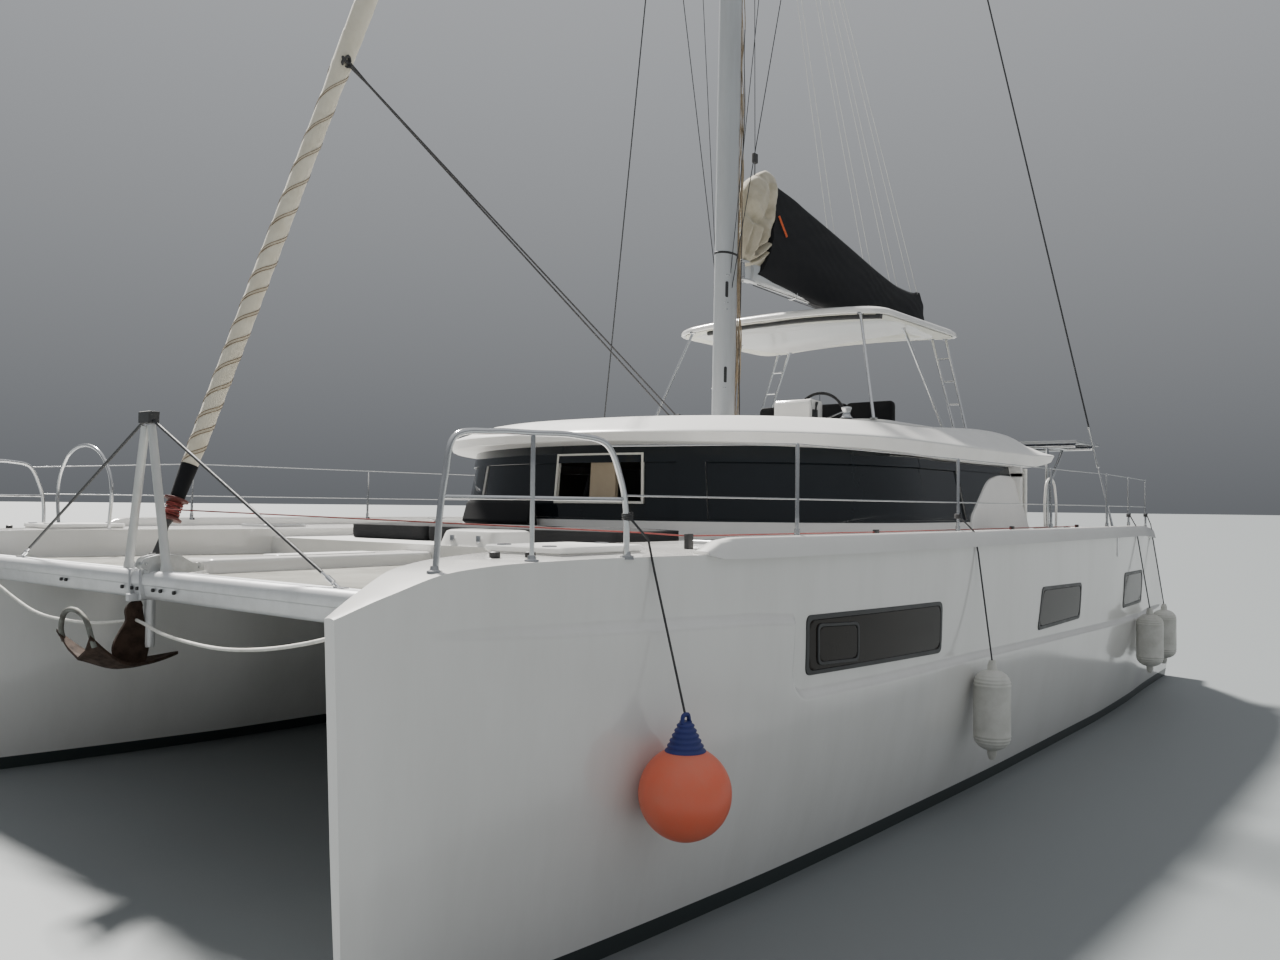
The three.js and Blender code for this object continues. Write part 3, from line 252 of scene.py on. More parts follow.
def node(tree, kind, feeds=(), own=(), **settings):
    """One shader node: feeds lists its inputs with the node and output that each takes, own gives the
    values of the other inputs, and settings its properties."""
    made = tree.nodes.new("ShaderNode" + kind)
    for name, value in settings.items():
        setattr(made, name, value)
    for port, value in dict(own).items():
        made.inputs[port].default_value = value
    for port, source, out in feeds:
        tree.links.new(source.outputs[out], made.inputs[port])
    return made


def bumped(tree, source, out, strength, depth):
    """Raises the surface of the tree's own shader by a node's output, to this depth in metres."""
    bump = node(tree, "Bump", [("Height", source, out)], {"Strength": strength, "Distance": depth})
    tree.links.new(bump.outputs["Normal"], tree.nodes["Principled BSDF"].inputs["Normal"])


# Weathering: soft blotches, drawn out along the axes by the stretch, that darken a colour and
# roughen a gloss. Their size is in blotches a metre.
weathering, given, result = shade_group(
    "weathering",
    [("Color", "NodeSocketColor", (0.8, 0.8, 0.8, 1)), ("Dark", "NodeSocketColor", (0.4, 0.4, 0.4, 1)),
     ("Size", "NodeSocketFloat", 4.0), ("Amount", "NodeSocketFloat", 0.3), ("Gloss", "NodeSocketFloat", 0.3),
     ("Stretch", "NodeSocketVector", (1.0, 1.0, 1.0))],
    [("Color", "NodeSocketColor"), ("Roughness", "NodeSocketFloat")],
)
place = node(weathering, "TexCoord")
drawn = node(weathering, "VectorMath", [(0, place, "Object"), (1, given, "Stretch")], operation="MULTIPLY")
blotch = node(weathering, "TexNoise", [("Vector", drawn, 0), ("Scale", given, "Size")],
              {"Detail": 6.0, "Roughness": 0.65})
spread = node(weathering, "MapRange", [("Value", blotch, "Fac")], {"From Min": 0.42, "From Max": 0.72})
share = node(weathering, "Math", [(0, spread, "Result"), (1, given, "Amount")], operation="MULTIPLY")
tint = node(weathering, "Mix", [("Factor", share, 0), ("A", given, "Color"), ("B", given, "Dark")],
            data_type="RGBA")
weathering.links.new(tint.outputs["Result"], result.inputs["Color"])
rougher = node(weathering, "Math", [(0, share, 0), (2, given, "Gloss")], {1: 0.35}, operation="MULTIPLY_ADD")
weathering.links.new(rougher.outputs[0], result.inputs["Roughness"])


def weathered(name, slot, color, dark, gloss, size=4.0, amount=0.3, grain=0.0, fine=300.0,
              stretch=(1, 1, 1), **own):
    """A look with weathering in its colour and gloss, a fine bump where grain is above 0, and the
    shader's own values by the name of their sockets. The slot, one of the record's finishes, is not used."""
    look = bpy.data.materials.new(name)
    look.use_nodes = True
    tree = look.node_tree
    shader = tree.nodes["Principled BSDF"]
    worn = node(tree, "Group", (), {
        "Color": (*color, 1), "Dark": (*dark, 1), "Size": size, "Amount": amount, "Gloss": gloss,
        "Stretch": stretch,
    }, node_tree=weathering)
    tree.links.new(worn.outputs["Color"], shader.inputs["Base Color"])
    tree.links.new(worn.outputs["Roughness"], shader.inputs["Roughness"])
    for socket, value in own.items():
        shader.inputs[socket.replace("_", " ")].default_value = value
    if grain > 0:
        at = node(tree, "TexCoord")
        noise = node(tree, "TexNoise", [("Vector", at, "Object")], {"Scale": fine, "Detail": 3.0})
        bumped(tree, noise, "Fac", grain, 0.002)
    return look


white_rope = weathered("white_rope", "white_rope", (0.72, 0.71, 0.66), (0.42, 0.40, 0.36), 0.85, 12.0, 0.5,
                       grain=0.4)
ROPE_ACROSS = 0.022
PORT_ROPE = [
    (6.590, 3.080, 1.763), (6.569, 2.800, 1.725), (6.541, 2.452, 1.654), (6.492, 2.036, 1.584),
    (6.421, 1.444, 1.521), (6.360, 0.927, 1.508), (6.309, 0.498, 1.520), (6.250, 0.120, 1.552),
    (6.240, 0.017, 1.562),
]
STARBOARD_ROPE = [
    (6.590, -3.080, 1.803), (6.560, -2.700, 1.790), (6.500, -2.100, 1.760), (6.456, -1.739, 1.700),
    (6.440, -1.600, 1.650), (6.396, -1.234, 1.540), (6.338, -0.744, 1.505), (6.298, -0.408, 1.515),
    (6.250, -0.120, 1.546), (6.240, -0.017, 1.556),
]
for name, route in (("port_bridle_rope", PORT_ROPE), ("starboard_bridle_rope", STARBOARD_ROPE)):
    line = fair_path(route, 0.012)
    rope = piece(
        name + "_laid", laid_rope(line, ROPE_ACROSS / 2, 0.075), white_rope,
        stands_for=[name],
    )


# Hulls: two slim fibreglass shells in glossy white gelcoat with plumb bows, dark antifouling paint
# below the boot-top. The topside is set back above a soft ledge that runs along under the windows.
def fair_line(x, knots, values):
    """Fair curve through values at knots: a cubic in each span, whose slope at a knot is the harmonic
    mean of the straight slopes on either side, and level where those turn."""
    knots, values = np.asarray(knots, float), np.asarray(values, float)
    h = np.diff(knots)
    s = np.diff(values) / h
    a, b = s[:-1], s[1:]
    same = a * b > 0
    slope = np.concatenate([[s[0]], np.where(same, 2 * a * b / np.where(same, a + b, 1.0), 0.0), [s[-1]]])
    i = np.clip(np.searchsorted(knots, x, side="right") - 1, 0, len(h) - 1)
    t = (x - knots[i]) / h[i]
    return (
        values[i] * (2 * t**3 - 3 * t**2 + 1) + slope[i] * h[i] * (t**3 - 2 * t**2 + t)
        + values[i + 1] * (3 * t**2 - 2 * t**3) + slope[i + 1] * h[i] * (t**3 - t**2)
    )


# Columns: station, height of the deck edge, outer and inner deck edge, outer and inner waterline
# edge, and depth of the bottom.
HULL_LINES = np.array([
    (-6.95, 2.000, 3.620, 2.450, 3.480, 2.750, -0.10),
    (-5.35, 2.040, 3.745, 2.250, 3.550, 2.620, -0.40),
    (-4.20, 2.095, 3.870, 2.250, 3.620, 2.560, -0.50),
    (-2.40, 2.100, 3.960, 2.250, 3.670, 2.520, -0.62),
    (0.00, 2.100, 3.970, 2.250, 3.670, 2.520, -0.68),
    (2.40, 2.100, 3.930, 2.250, 3.630, 2.580, -0.68),
    (3.90, 2.100, 3.860, 2.250, 3.580, 2.690, -0.66),
    (4.70, 2.100, 3.790, 2.460, 3.530, 2.800, -0.64),
    (5.50, 2.100, 3.675, 2.720, 3.470, 2.940, -0.61),
    (6.10, 2.090, 3.560, 2.930, 3.410, 3.060, -0.58),
    (6.45, 2.060, 3.475, 3.050, 3.360, 3.140, -0.55),
    (6.75, 1.960, 3.370, 3.150, 3.310, 3.190, -0.50),
    (6.95, 1.870, 3.285, 3.215, 3.265, 3.235, -0.40),
])
STEM_RAKE, STEM_CURVE, FLARE = 0.09, 0.4, 2.2
LEDGE_FRONT, LEDGE_DEPTH, LEDGE_WIDE = 4.05, 0.044, 0.062
BOOT_TOP = 0.11


def hull_line(column, x):
    """One of the hull's long lines at the stations x."""
    return fair_line(x, HULL_LINES[:, 0], HULL_LINES[:, column])


def ledge_setback(x, z):
    """How far the topside stands back: a smooth step across the ledge, measured from the nearer of the
    long upper line, which fades out forward, and the lower line with its rounded forward corner."""
    upper = np.interp(x, [4.05, 4.43, 6.04, 6.40], [1.685, 1.715, 1.760, 1.775])
    lower = np.interp(x, [-4.15, -0.50, 1.38, 2.93, 3.83], [1.10, 1.16, 1.19, 1.195, 1.21])
    over, behind, r = z - lower, LEDGE_FRONT - x, 0.18
    corner = r - np.hypot(np.maximum(r - over, 0), np.maximum(r - behind, 0))
    inside = np.where((over < r) | (behind < r), corner, r)
    inside = np.maximum(inside, z - upper)
    step = np.clip(inside / LEDGE_WIDE + 0.5, 0, 1)
    fade = np.clip((6.65 - x) / 1.2, 0, 1) * np.clip((x + 6.2) / 1.2, 0, 1)
    return LEDGE_DEPTH * fade * step * step * (3 - 2 * step)


def topside(x, z):
    """Half-breadth of the outer side at stations x and heights z: from the waterline's breadth it
    swells to the deck edge's as one minus a power of the height still to go."""
    t = np.clip(z / hull_line(1, x), 0, 1)
    wet, deck = hull_line(4, x), hull_line(2, x)
    return wet + (deck - wet) * (1 - (1 - t) ** FLARE) - ledge_setback(x, z)


def stem_back(x, z):
    """How far the stem leans back: its rake above the water and its curve below, within the last
    fifth of a metre."""
    near = np.clip((x - 6.75) / 0.20, 0, 1)
    return near * (STEM_RAKE * (1 - np.maximum(z, 0) / hull_line(1, x)) + STEM_CURVE * np.maximum(-z, 0))


HULL_X = np.unique(np.concatenate([
    np.linspace(-6.95, -3.0, 50), np.linspace(-3.0, 3.75, 66), np.linspace(3.75, 4.2, 40),
    np.linspace(4.2, 6.5, 34), np.linspace(6.5, 6.95, 22),
]))
OUTER_T = np.unique(np.concatenate([
    np.linspace(0, 0.5, 12), np.linspace(0.5, 0.95, 66), np.linspace(0.95, 1, 6),
]))[::-1]


def hull_skin():
    """Port hull as a grid of stations and ring points: down the outer side at shares of the deck's
    height, round an elliptical bottom, up the inner side and back across the cambered deck."""
    x = HULL_X[:, None]
    deck, outer, inner = hull_line(1, x), hull_line(2, x), hull_line(3, x)
    wet_out, wet_in, bottom = hull_line(4, x), hull_line(5, x), hull_line(6, x)
    z0 = deck * OUTER_T[None, :]
    y0 = topside(x, z0)
    angle = np.linspace(0, np.pi, 22)[None, 1:-1]
    middle = (wet_out + wet_in) / 2
    y1, z1 = middle + (wet_out - wet_in) / 2 * np.cos(angle), bottom * np.sin(angle)
    rise = np.linspace(0, 1, 9)[None, :]
    z2 = 0.85 * rise + 0 * wet_in
    y2 = wet_in + (inner - wet_in) * (1 - (1 - rise) ** 1.3)
    z3 = 0.85 + (deck - 0.85) * np.linspace(0, 1, 8)[None, 1:]
    y3 = inner + 0 * z3
    shut = np.linspace(0, 1, 10)[None, 1:-1]
    y4 = inner + (outer - inner) * shut
    z4 = deck + 0.006 * np.sin(np.pi * shut)
    y = np.concatenate([y0, y1, y2, y3, y4], axis=1)
    z = np.concatenate([z0, z1, z2, z3, z4], axis=1)
    across = np.broadcast_to(x, y.shape)
    return loft(np.stack([across - stem_back(across, z), y, z], -1))


def rounded(corners, radius, steps=5, span=9.0):
    """The outline with its corners rounded: from a point one radius before a corner, a quadratic
    curve that the corner draws out, to a point one radius after it. Points along the sides keep the
    span between neighbours down."""
    p = np.asarray(corners, float)
    before, after = np.roll(p, 1, 0) - p, np.roll(p, -1, 0) - p
    r = np.broadcast_to(radius, len(p))[:, None]
    start = p + before / np.linalg.norm(before, axis=1, keepdims=True) * r
    end = p + after / np.linalg.norm(after, axis=1, keepdims=True) * r
    t = np.linspace(0, 1, steps + 1)[None, :, None]
    line = ((1 - t) ** 2 * start[:, None] + 2 * t * (1 - t) * p[:, None] + t**2 * end[:, None]).reshape(-1, 2)
    closed = np.concatenate([line, line[:1]])
    run = np.concatenate([[0.0], np.cumsum(np.linalg.norm(np.diff(closed, axis=0), axis=1))])
    at = np.unique(np.round(np.concatenate([run, np.arange(0, run[-1], span)]), 4))[:-1]
    return np.stack([np.interp(at, run, closed[:, 0]), np.interp(at, run, closed[:, 1])], -1)


def oblong(a0, a1, b0, b1):
    """The four corners of an upright rectangle in a plane."""
    return [(a0, b0), (a1, b0), (a1, b1), (a0, b1)]


def stack(outline, levels, axis=2, lie=None):
    """Closed body through copies of a flat outline, each shrunk towards the middle of its box so that
    the box's sides come in by an inset, and set at its own height along the axis. A function may lay
    the rings on a surface."""
    flat = np.asarray(outline, float)
    low, high = flat.min(0), flat.max(0)
    middle, half = (low + high) / 2, (high - low) / 2
    inset, height = np.asarray(levels, float).T
    copies = middle + (flat - middle) * (1 - inset[:, None] / half)[:, None, :]
    rings = np.insert(copies, axis, np.broadcast_to(height[:, None], copies.shape[:2]), axis=2)
    return loft(rings if lie is None else lie(rings))


def block(x0, x1, y0, y1, z0, z1, soft=0.0):
    """Block between two corners, its upright edges rounded and its rims eased where soft is above 0."""
    corners = oblong(x0, x1, y0, y1)
    if soft <= 0:
        return stack(corners, [(0, z0), (0, z1)])
    e = soft * 0.35
    levels = [(e, z0), (0, z0 + e), (0, z1 - e), (e * 0.3, z1 - e * 0.3), (e, z1)]
    return stack(rounded(corners, soft), levels)


def carved(body, *tools, way="DIFFERENCE"):
    """The first body with the others cut away from it, or joined to it, for good."""
    objects = []
    for points, faces in (body, together(*tools)):
        mesh = bpy.data.meshes.new("carving")
        mesh.from_pydata(np.asarray(points).tolist(), [], faces)
        objects.append(bpy.data.objects.new("carving", mesh))
        bpy.context.scene.collection.objects.link(objects[-1])
    step = objects[0].modifiers.new("carving", "BOOLEAN")
    step.object = objects[1]
    step.operation = way
    step.solver = "EXACT"
    step.use_self = True
    shaped = bpy.data.meshes.new_from_object(
        objects[0].evaluated_get(bpy.context.evaluated_depsgraph_get())
    )
    points = np.empty(3 * len(shaped.vertices), np.float32)
    shaped.vertices.foreach_get("co", points)
    faces = [list(face.vertices) for face in shaped.polygons]
    bpy.data.meshes.remove(shaped)
    for obj in objects:
        bpy.data.meshes.remove(obj.data)
    return points.reshape(-1, 3), faces


def painted_below(look, height, color, roughness):
    """Paints everything under a height in another colour, flat where the finish was glossy."""
    tree = look.node_tree
    shader = tree.nodes["Principled BSDF"]
    at = node(tree, "TexCoord")
    split = node(tree, "SeparateXYZ", [(0, at, "Object")])
    under = node(tree, "Math", [(0, split, "Z")], {1: height}, operation="LESS_THAN")
    for socket, kind, value in (("Base Color", "RGBA", color), ("Roughness", "FLOAT", roughness)):
        mix = node(tree, "Mix", data_type=kind)
        ports = [port for port in mix.inputs if port.enabled]
        tree.links.new(under.outputs[0], ports[0])
        tree.links.new(shader.inputs[socket].links[0].from_socket, ports[1])
        ports[2].default_value = value
        tree.links.new([port for port in mix.outputs if port.enabled][0], shader.inputs[socket])


def nonskid(look):
    """Moulds a fine diamond pattern into the faces that look straight up."""
    tree = look.node_tree
    at = node(tree, "TexCoord")
    cells = node(tree, "TexVoronoi", [("Vector", at, "Object")], {"Scale": 90.0})
    split = node(tree, "SeparateXYZ", [(0, at, "Normal")])
    level = node(tree, "MapRange", [("Value", split, "Z")], {"From Min": 0.985, "From Max": 0.998})
    only = node(tree, "Math", [(0, cells, "Distance"), (1, level, "Result")], operation="MULTIPLY")
    bumped(tree, only, 0, 0.5, 0.004)


gelcoat = weathered("gelcoat", "gelcoat", (0.80, 0.79, 0.765), (0.60, 0.59, 0.56), 0.16, 1.4, 0.22,
                    Coat_Weight=0.35, Coat_Roughness=0.06)
deck_gelcoat = weathered("deck_gelcoat", "gelcoat", (0.80, 0.795, 0.775), (0.62, 0.61, 0.58), 0.3, 2.0, 0.3)
nonskid(deck_gelcoat)
hull_gelcoat = weathered("hull_gelcoat", "gelcoat", (0.80, 0.79, 0.765), (0.58, 0.57, 0.53), 0.14, 2.2, 0.25,
                         stretch=(1, 1, 0.2), Coat_Weight=0.4, Coat_Roughness=0.05)
painted_below(hull_gelcoat, BOOT_TOP, (0.025, 0.035, 0.035, 1), 0.6)
nonskid(hull_gelcoat)
STERN_STEPS = [
    (-5.35, 2.5), (-5.35, 1.62), (-5.70, 1.62), (-5.70, 1.24), (-6.05, 1.24), (-6.05, 0.86),
    (-6.35, 0.86), (-6.35, 0.45), (-7.20, 0.45), (-7.20, 2.5),
]
STERN_WALL = [(-5.27, 2.5), (-5.27, 2.01), (-6.50, 0.70), (-7.20, 0.56), (-7.20, 2.5)]
LOCKER = (5.05, 5.65, 2.86, 3.38)
ENGINE_BAY = (-4.90, -4.00, 2.62, 3.38)
hull_body = carved(
    hull_skin(), stack(STERN_STEPS, [(0, 2.0), (0, 3.42)], axis=1),
    stack(STERN_WALL, [(0, 3.41), (0, 4.3)], axis=1), block(*LOCKER, 1.30, 2.5),
    block(*ENGINE_BAY, 0.15, 2.5),
)
pair("hull_shell", hull_body, hull_gelcoat, stands_for=["hull"])


def coaming(x0, x1, y0, y1):
    """Raised rim round a hatch: a tall narrow wall, eased at its top, carried round the opening."""
    turn = rounded(oblong(x0 - 0.015, x1 + 0.015, y0 - 0.015, y1 + 0.015), 0.04)
    outer = [(-0.015, 1.98), (-0.015, 2.110), (-0.010, 2.115), (0.010, 2.115), (0.015, 2.110), (0.015, 1.98)]
    return stack(turn, outer)


pair("hatch_coamings", [coaming(*LOCKER), coaming(*ENGINE_BAY)], gelcoat)

# The deck-edge moulding is a low raised rail, rounded off forward, that leans a little inward.
rail_x = np.linspace(-5.22, 4.86, 90)
swell = np.sqrt(1 - (1 - np.clip((4.86 - rail_x) / 0.30, 0, 1)) ** 2)
rail_path = np.stack([rail_x, hull_line(2, rail_x), hull_line(1, rail_x)], -1)
rail_profile = np.array([
    (-0.03, -0.006), (0.035, -0.020), (0.072, -0.034), (0.090, -0.050), (0.095, -0.085), (0.088, -0.122),
    (0.062, -0.140), (-0.03, -0.150),
])
rail_sections = rail_profile[None] * np.stack([0.2 + 0.8 * swell, np.ones(90)], -1)[:, None]
pair("deck_edge_moulding", sweep(rail_path, rail_sections, flat=(0, 0, 1)), gelcoat)

# Cabin windows: smoked acrylic panes bonded into black frames that follow the topside, and an
# opening port with a frame of its own in the forward one.
HULL_WINDOWS = [
    [(3.870, 1.320), (3.900, 1.700), (2.000, 1.670), (1.960, 1.275)],
    [(-0.165, 1.260), (-0.210, 1.660), (-1.430, 1.640), (-1.450, 1.275)],
    [(-3.200, 1.250), (-3.170, 1.660), (-4.240, 1.650), (-4.300, 1.245)],
]
OPENING_PORT = [(3.750, 1.375), (3.780, 1.640), (3.270, 1.615), (3.240, 1.350)]


def on_topside(rings):
    """Lays rings of (x, height over the skin, z) onto the port topside."""
    lain = rings.copy()
    lain[..., 1] += topside(rings[..., 0], rings[..., 2])
    return lain


def frame_levels(base, width, proud):
    """Insets and heights of a raised frame: up its outer edge, over, and down its inner one."""
    top = base + proud
    return [(0, base - 0.012), (0, top - 0.003), (0.003, top), (width - 0.003, top), (width, top - 0.003),
            (width, base - 0.012)]


def pane_levels(inset, height, half):
    """Insets and heights of a pane: an eased edge, then rings that close in evenly over its face
    until little of the pane's half height is left."""
    rings = [(inset + (half - inset) * share, height) for share in (0.15, 0.3, 0.45, 0.6, 0.75, 0.9)]
    return [(inset, height - 0.016), (inset, height - 0.003), (inset + 0.004, height), *rings]


black_trim = weathered("black_trim", "dark_glass", (0.022, 0.023, 0.025), (0.06, 0.06, 0.06), 0.38, 9.0, 0.4)
smoked = weathered("smoked_acrylic", "dark_glass", (0.016, 0.012, 0.010), (0.030, 0.024, 0.019), 0.05, 1.2,
                   0.5, IOR=1.25)
panes = [rounded(w, 0.055, 6, 0.05) for w in HULL_WINDOWS]
port_light = rounded(OPENING_PORT, 0.05, 6, 0.05)
pair("hull_window_frames", [
    *[stack(w, frame_levels(0.0, 0.034, 0.007), axis=1, lie=on_topside) for w in panes],
    stack(port_light, frame_levels(0.004, 0.022, 0.010), axis=1, lie=on_topside),
], black_trim)
pair("hull_window_panes", [
    *[stack(w, pane_levels(0.033, 0.004, 0.19), axis=1, lie=on_topside) for w in panes],
    stack(port_light, pane_levels(0.021, 0.009, 0.13), axis=1, lie=on_topside),
], smoked)


# Deckhouse: a low moulded wall with a wrap-round nose. Its bonded glass runs round the front and
# sides as one dark band, and a white panel closes the band off aft.
HOUSE_LOW, HOUSE_TOP, HOUSE_AFT, NOSE = 2.1003, 2.8797, -2.95, 2.45
HOUSE_SIDE_END = 6.76


def nose_plan(t, front, aft, nose, half):
    """Plan of a rounded nose with straight sides. t runs from 0 at the middle of the front to 1 where
    the side starts and 2 at its aft end, and below 0 to starboard. The nose is a superellipse."""
    turn = np.clip(1 - np.abs(t), 0, 1) * np.pi / 2
    x = front - nose + nose * np.sin(turn) ** (2 / 2.2) + np.clip(np.abs(t) - 1, 0, 1) * (aft - front + nose)
    return x, half * np.sign(t) * np.cos(turn) ** (2 / 2.2)


plan_t = np.linspace(0, 2, 801)
plan_x, plan_y = nose_plan(plan_t, 2.16, HOUSE_AFT, NOSE, 2.755)
plan_run = np.concatenate([[0.0], np.cumsum(np.hypot(np.diff(plan_x), np.diff(plan_y)))])


def house_face(run, z, out):
    """Points of the deckhouse's leaning outer face: run is the distance round its plan from the middle
    of the nose, to port above 0, and out is the distance in front of the face."""
    rise = (z - HOUSE_LOW) / (HOUSE_TOP - HOUSE_LOW)
    t = np.sign(run) * np.interp(np.abs(run), plan_run, plan_t)
    x, y = nose_plan(t, 2.2 - 0.08 * rise + out, HOUSE_AFT, NOSE, 2.85 - 0.19 * rise + out)
    return np.stack([x, y, z + 0 * x], -1)


def band(start, end, section):
    """Strip round the deckhouse from one distance to another, with a section of (out, height)."""
    run = np.linspace(start, end, max(2, int(np.ceil((end - start) / 0.09)) + 1))[:, None]
    out, z = np.asarray(section, float).T
    return loft(house_face(run, z[None, :], out[None, :]))


def strip(out, depth, low, high, ease=0.003):
    """Section of a strip between two heights: its face, eased at both edges, and its back."""
    return [(out - depth, low), (out - ease, low), (out, low + ease), (out, high - ease), (out - ease, high),
            (out - depth, high)]


FRONT_PANE, SIDE_PANE = 1.34, (1.62, 5.10)
WINDOW = (0.02, 0.98)
pillars = [(FRONT_PANE, SIDE_PANE[0]), (SIDE_PANE[1], HOUSE_SIDE_END)]
walls = [band(-HOUSE_SIDE_END, HOUSE_SIDE_END, strip(0.0, 0.07, HOUSE_LOW, 2.24)),
         band(-HOUSE_SIDE_END, HOUSE_SIDE_END, strip(0.0, 0.07, 2.79, HOUSE_TOP))]
for start, end in pillars:
    walls += [band(a, b, strip(0.0, 0.07, 2.23, 2.80)) for a, b in ((start, end), (-end, -start))]
AFT_WALL = [(0.62, 2.2497, 1.0503, 2.16), (2.30, 2.80, 2.10, 2.80), (0.62, 0.90, 2.10, 2.80),
            (2.2, 2.82, 2.10, 2.24), (0.62, 2.35, 2.10, 2.24)]
for y0, y1, z0, z1 in AFT_WALL:
    walls += [block(-2.95, -2.88, -y1, -y0, z0, z1), block(-2.95, -2.88, y0, y1, z0, z1)]
lintel = block(-2.95, -2.88, -2.80, 2.80, 2.76, 2.8797)
door_track = block(-3.006, -2.94, -1.92, 0.68, 2.80, 2.84, 0.01)
piece("deckhouse_walls", [*walls, lintel, door_track], gelcoat, stands_for=["deckhouse"])

bonding = [band(-6.72, 6.72, strip(0.003, 0.006, 2.228, 2.250)),
           band(-6.72, 6.72, strip(0.003, 0.006, 2.775, 2.876)),
           band(-3.6, 3.6, strip(0.003, 0.006, 2.870, 2.955))]
for start, end in pillars:
    bonding += [band(a, b, strip(0.003, 0.006, 2.24, 2.79))
                for a, b in ((start, min(end, 6.72)), (-min(end, 6.72), -start))]
tinted = weathered("tinted_glass", "dark_glass", (0.008, 0.011, 0.014), (0.016, 0.020, 0.024), 0.03, 0.9, 0.5,
                   IOR=1.42)
piece("glass_bonding", bonding, tinted)
pane = strip(-0.020, 0.012, 2.243, 2.787, 0.002)
for side, sign in SIDES:
    name = side + "_glazing"
    body = mirrored(band(SIDE_PANE[0] + 0.004, SIDE_PANE[1] - 0.004, pane), sign)
    piece(side + "_side_glass", body, tinted, stands_for=[name])
piece("front_glass", [
    band(-FRONT_PANE + 0.004, WINDOW[0] - 0.035, pane), band(WINDOW[1] + 0.035, FRONT_PANE - 0.004, pane),
    band(WINDOW[0] - 0.04, WINDOW[1] + 0.04, strip(-0.020, 0.012, 2.243, 2.39, 0.002)),
], tinted, stands_for=["front_glazing"])
cream = weathered("cream_frame", "gelcoat", (0.76, 0.74, 0.68), (0.6, 0.58, 0.52), 0.35, 5.0, 0.25)
frame_from, frame_to = WINDOW[0] - 0.035, WINDOW[1] + 0.035
piece("front_window_frame", [band(a, b, strip(0.004, 0.04, low, high)) for a, b, low, high in (
    (frame_from, frame_to, 2.385, 2.408), (frame_from, frame_to, 2.845, 2.868),
    (frame_from, WINDOW[0] - 0.012, 2.39, 2.86), (WINDOW[1] + 0.012, frame_to, 2.39, 2.86),
)], cream)
open_wide = WINDOW[1] - WINDOW[0]
blind_cloth = weathered("blind_cloth", "gelcoat", (0.42, 0.34, 0.24), (0.30, 0.24, 0.17), 0.8, grain=0.15)
blind = strip(-0.075, -0.066, 2.44, 2.84, 0.002)
piece("window_blind", band(WINDOW[0] + 0.42 * open_wide, WINDOW[0] + 0.72 * open_wide, blind), blind_cloth)


def on_house_side(rings):
    """Lays rings of (x, height over the face, z) onto the deckhouse's straight port side."""
    lain = rings.copy()
    lain[..., 1] += 2.85 - 0.19 * (rings[..., 2] - HOUSE_LOW) / (HOUSE_TOP - HOUSE_LOW)
    return lain


PILLAR_PANEL = [(-3.02, 2.125), (-2.93, 2.765), (-2.42, 2.765), (-2.04, 2.70), (-1.28, 2.27), (-1.24, 2.125)]
panel = rounded(PILLAR_PANEL, (0.03, 0.16, 0.12, 0.16, 0.10, 0.03), 6)
pair("house_side_panel", stack(
    panel, [(0, -0.02), (0, 0.014), (0.004, 0.022), (0.014, 0.026), (0.03, 0.028)], axis=1, lie=on_house_side
), gelcoat)
piece("aft_glass", [
    stack(rounded(oblong(y, y + 1.48, 2.2, 2.78), 0.04), [(0, -2.93), (0, -2.915)], axis=0)
    for y in (-2.34, 0.86)
], tinted)

# The sliding door is a dark pane in a slim frame with a long pull handle, hung in the track.
aluminium = weathered("aluminium", "mast_aluminium", (0.56, 0.57, 0.58), (0.40, 0.40, 0.41), 0.30, 3.0, 0.35,
                      0.05, 900, Metallic=0.9)
DOOR_FRAME = [(-0.66, -0.60, 1.056, 2.7997), (0.60, 0.66, 1.056, 2.7997), (-0.62, 0.62, 1.056, 1.15),
              (-0.62, 0.62, 2.72, 2.7997)]
door_handle = block(-3.008, -2.985, 0.615, 0.645, 1.75, 2.15, 0.008)
piece("saloon_door_frame", [
    *[block(-2.991, -2.956, *part, 0.008) for part in DOOR_FRAME], door_handle,
], aluminium, rides="saloon_door", stands_for=["saloon_door"])
piece("saloon_door_pane", block(-2.980, -2.967, -0.61, 0.61, 1.14, 2.73), tinted, rides="saloon_door")


# Cushions: sewn covers over foam, in grey marine fabric with a piped seam round the top edge. Each
# is a crowned pad whose sides pull in a little between its corners.
def cushion(x0, x1, y0, y1, z, thick, crown=0.018, radius=0.06):
    """Pad with sides drawn in between its corners by a sine, eased rims and a crowned top that rises
    as one minus the square of the distance from its middle."""
    line = rounded(oblong(x0, x1, y0, y1), radius, 5, 0.05)
    middle, half = np.array([(x0 + x1) / 2, (y0 + y1) / 2]), np.array([(x1 - x0) / 2, (y1 - y0) / 2])
    share = (line - middle) / half
    line = line - share * np.abs(share) * 0.010 * np.cos(np.pi / 2 * share[:, ::-1])
    small = half.min()
    rise = np.array([0.0, 0.012, 0.03, 0.06, 0.12, 0.25, 0.45, 0.68, 0.9]) * small
    over = thick - 0.012 + crown * (1 - (1 - rise / small) ** 2)
    levels = [(0.02, 0), (0.006, 0.006), (0, 0.02), (-0.002, thick / 2), (0, thick - 0.022),
              (-0.003, thick - 0.017)]
    levels += [(0.002, thick - 0.012)] + list(zip(rise + 0.003, over))
    return stack(line, [(inset, z + h) for inset, h in levels])


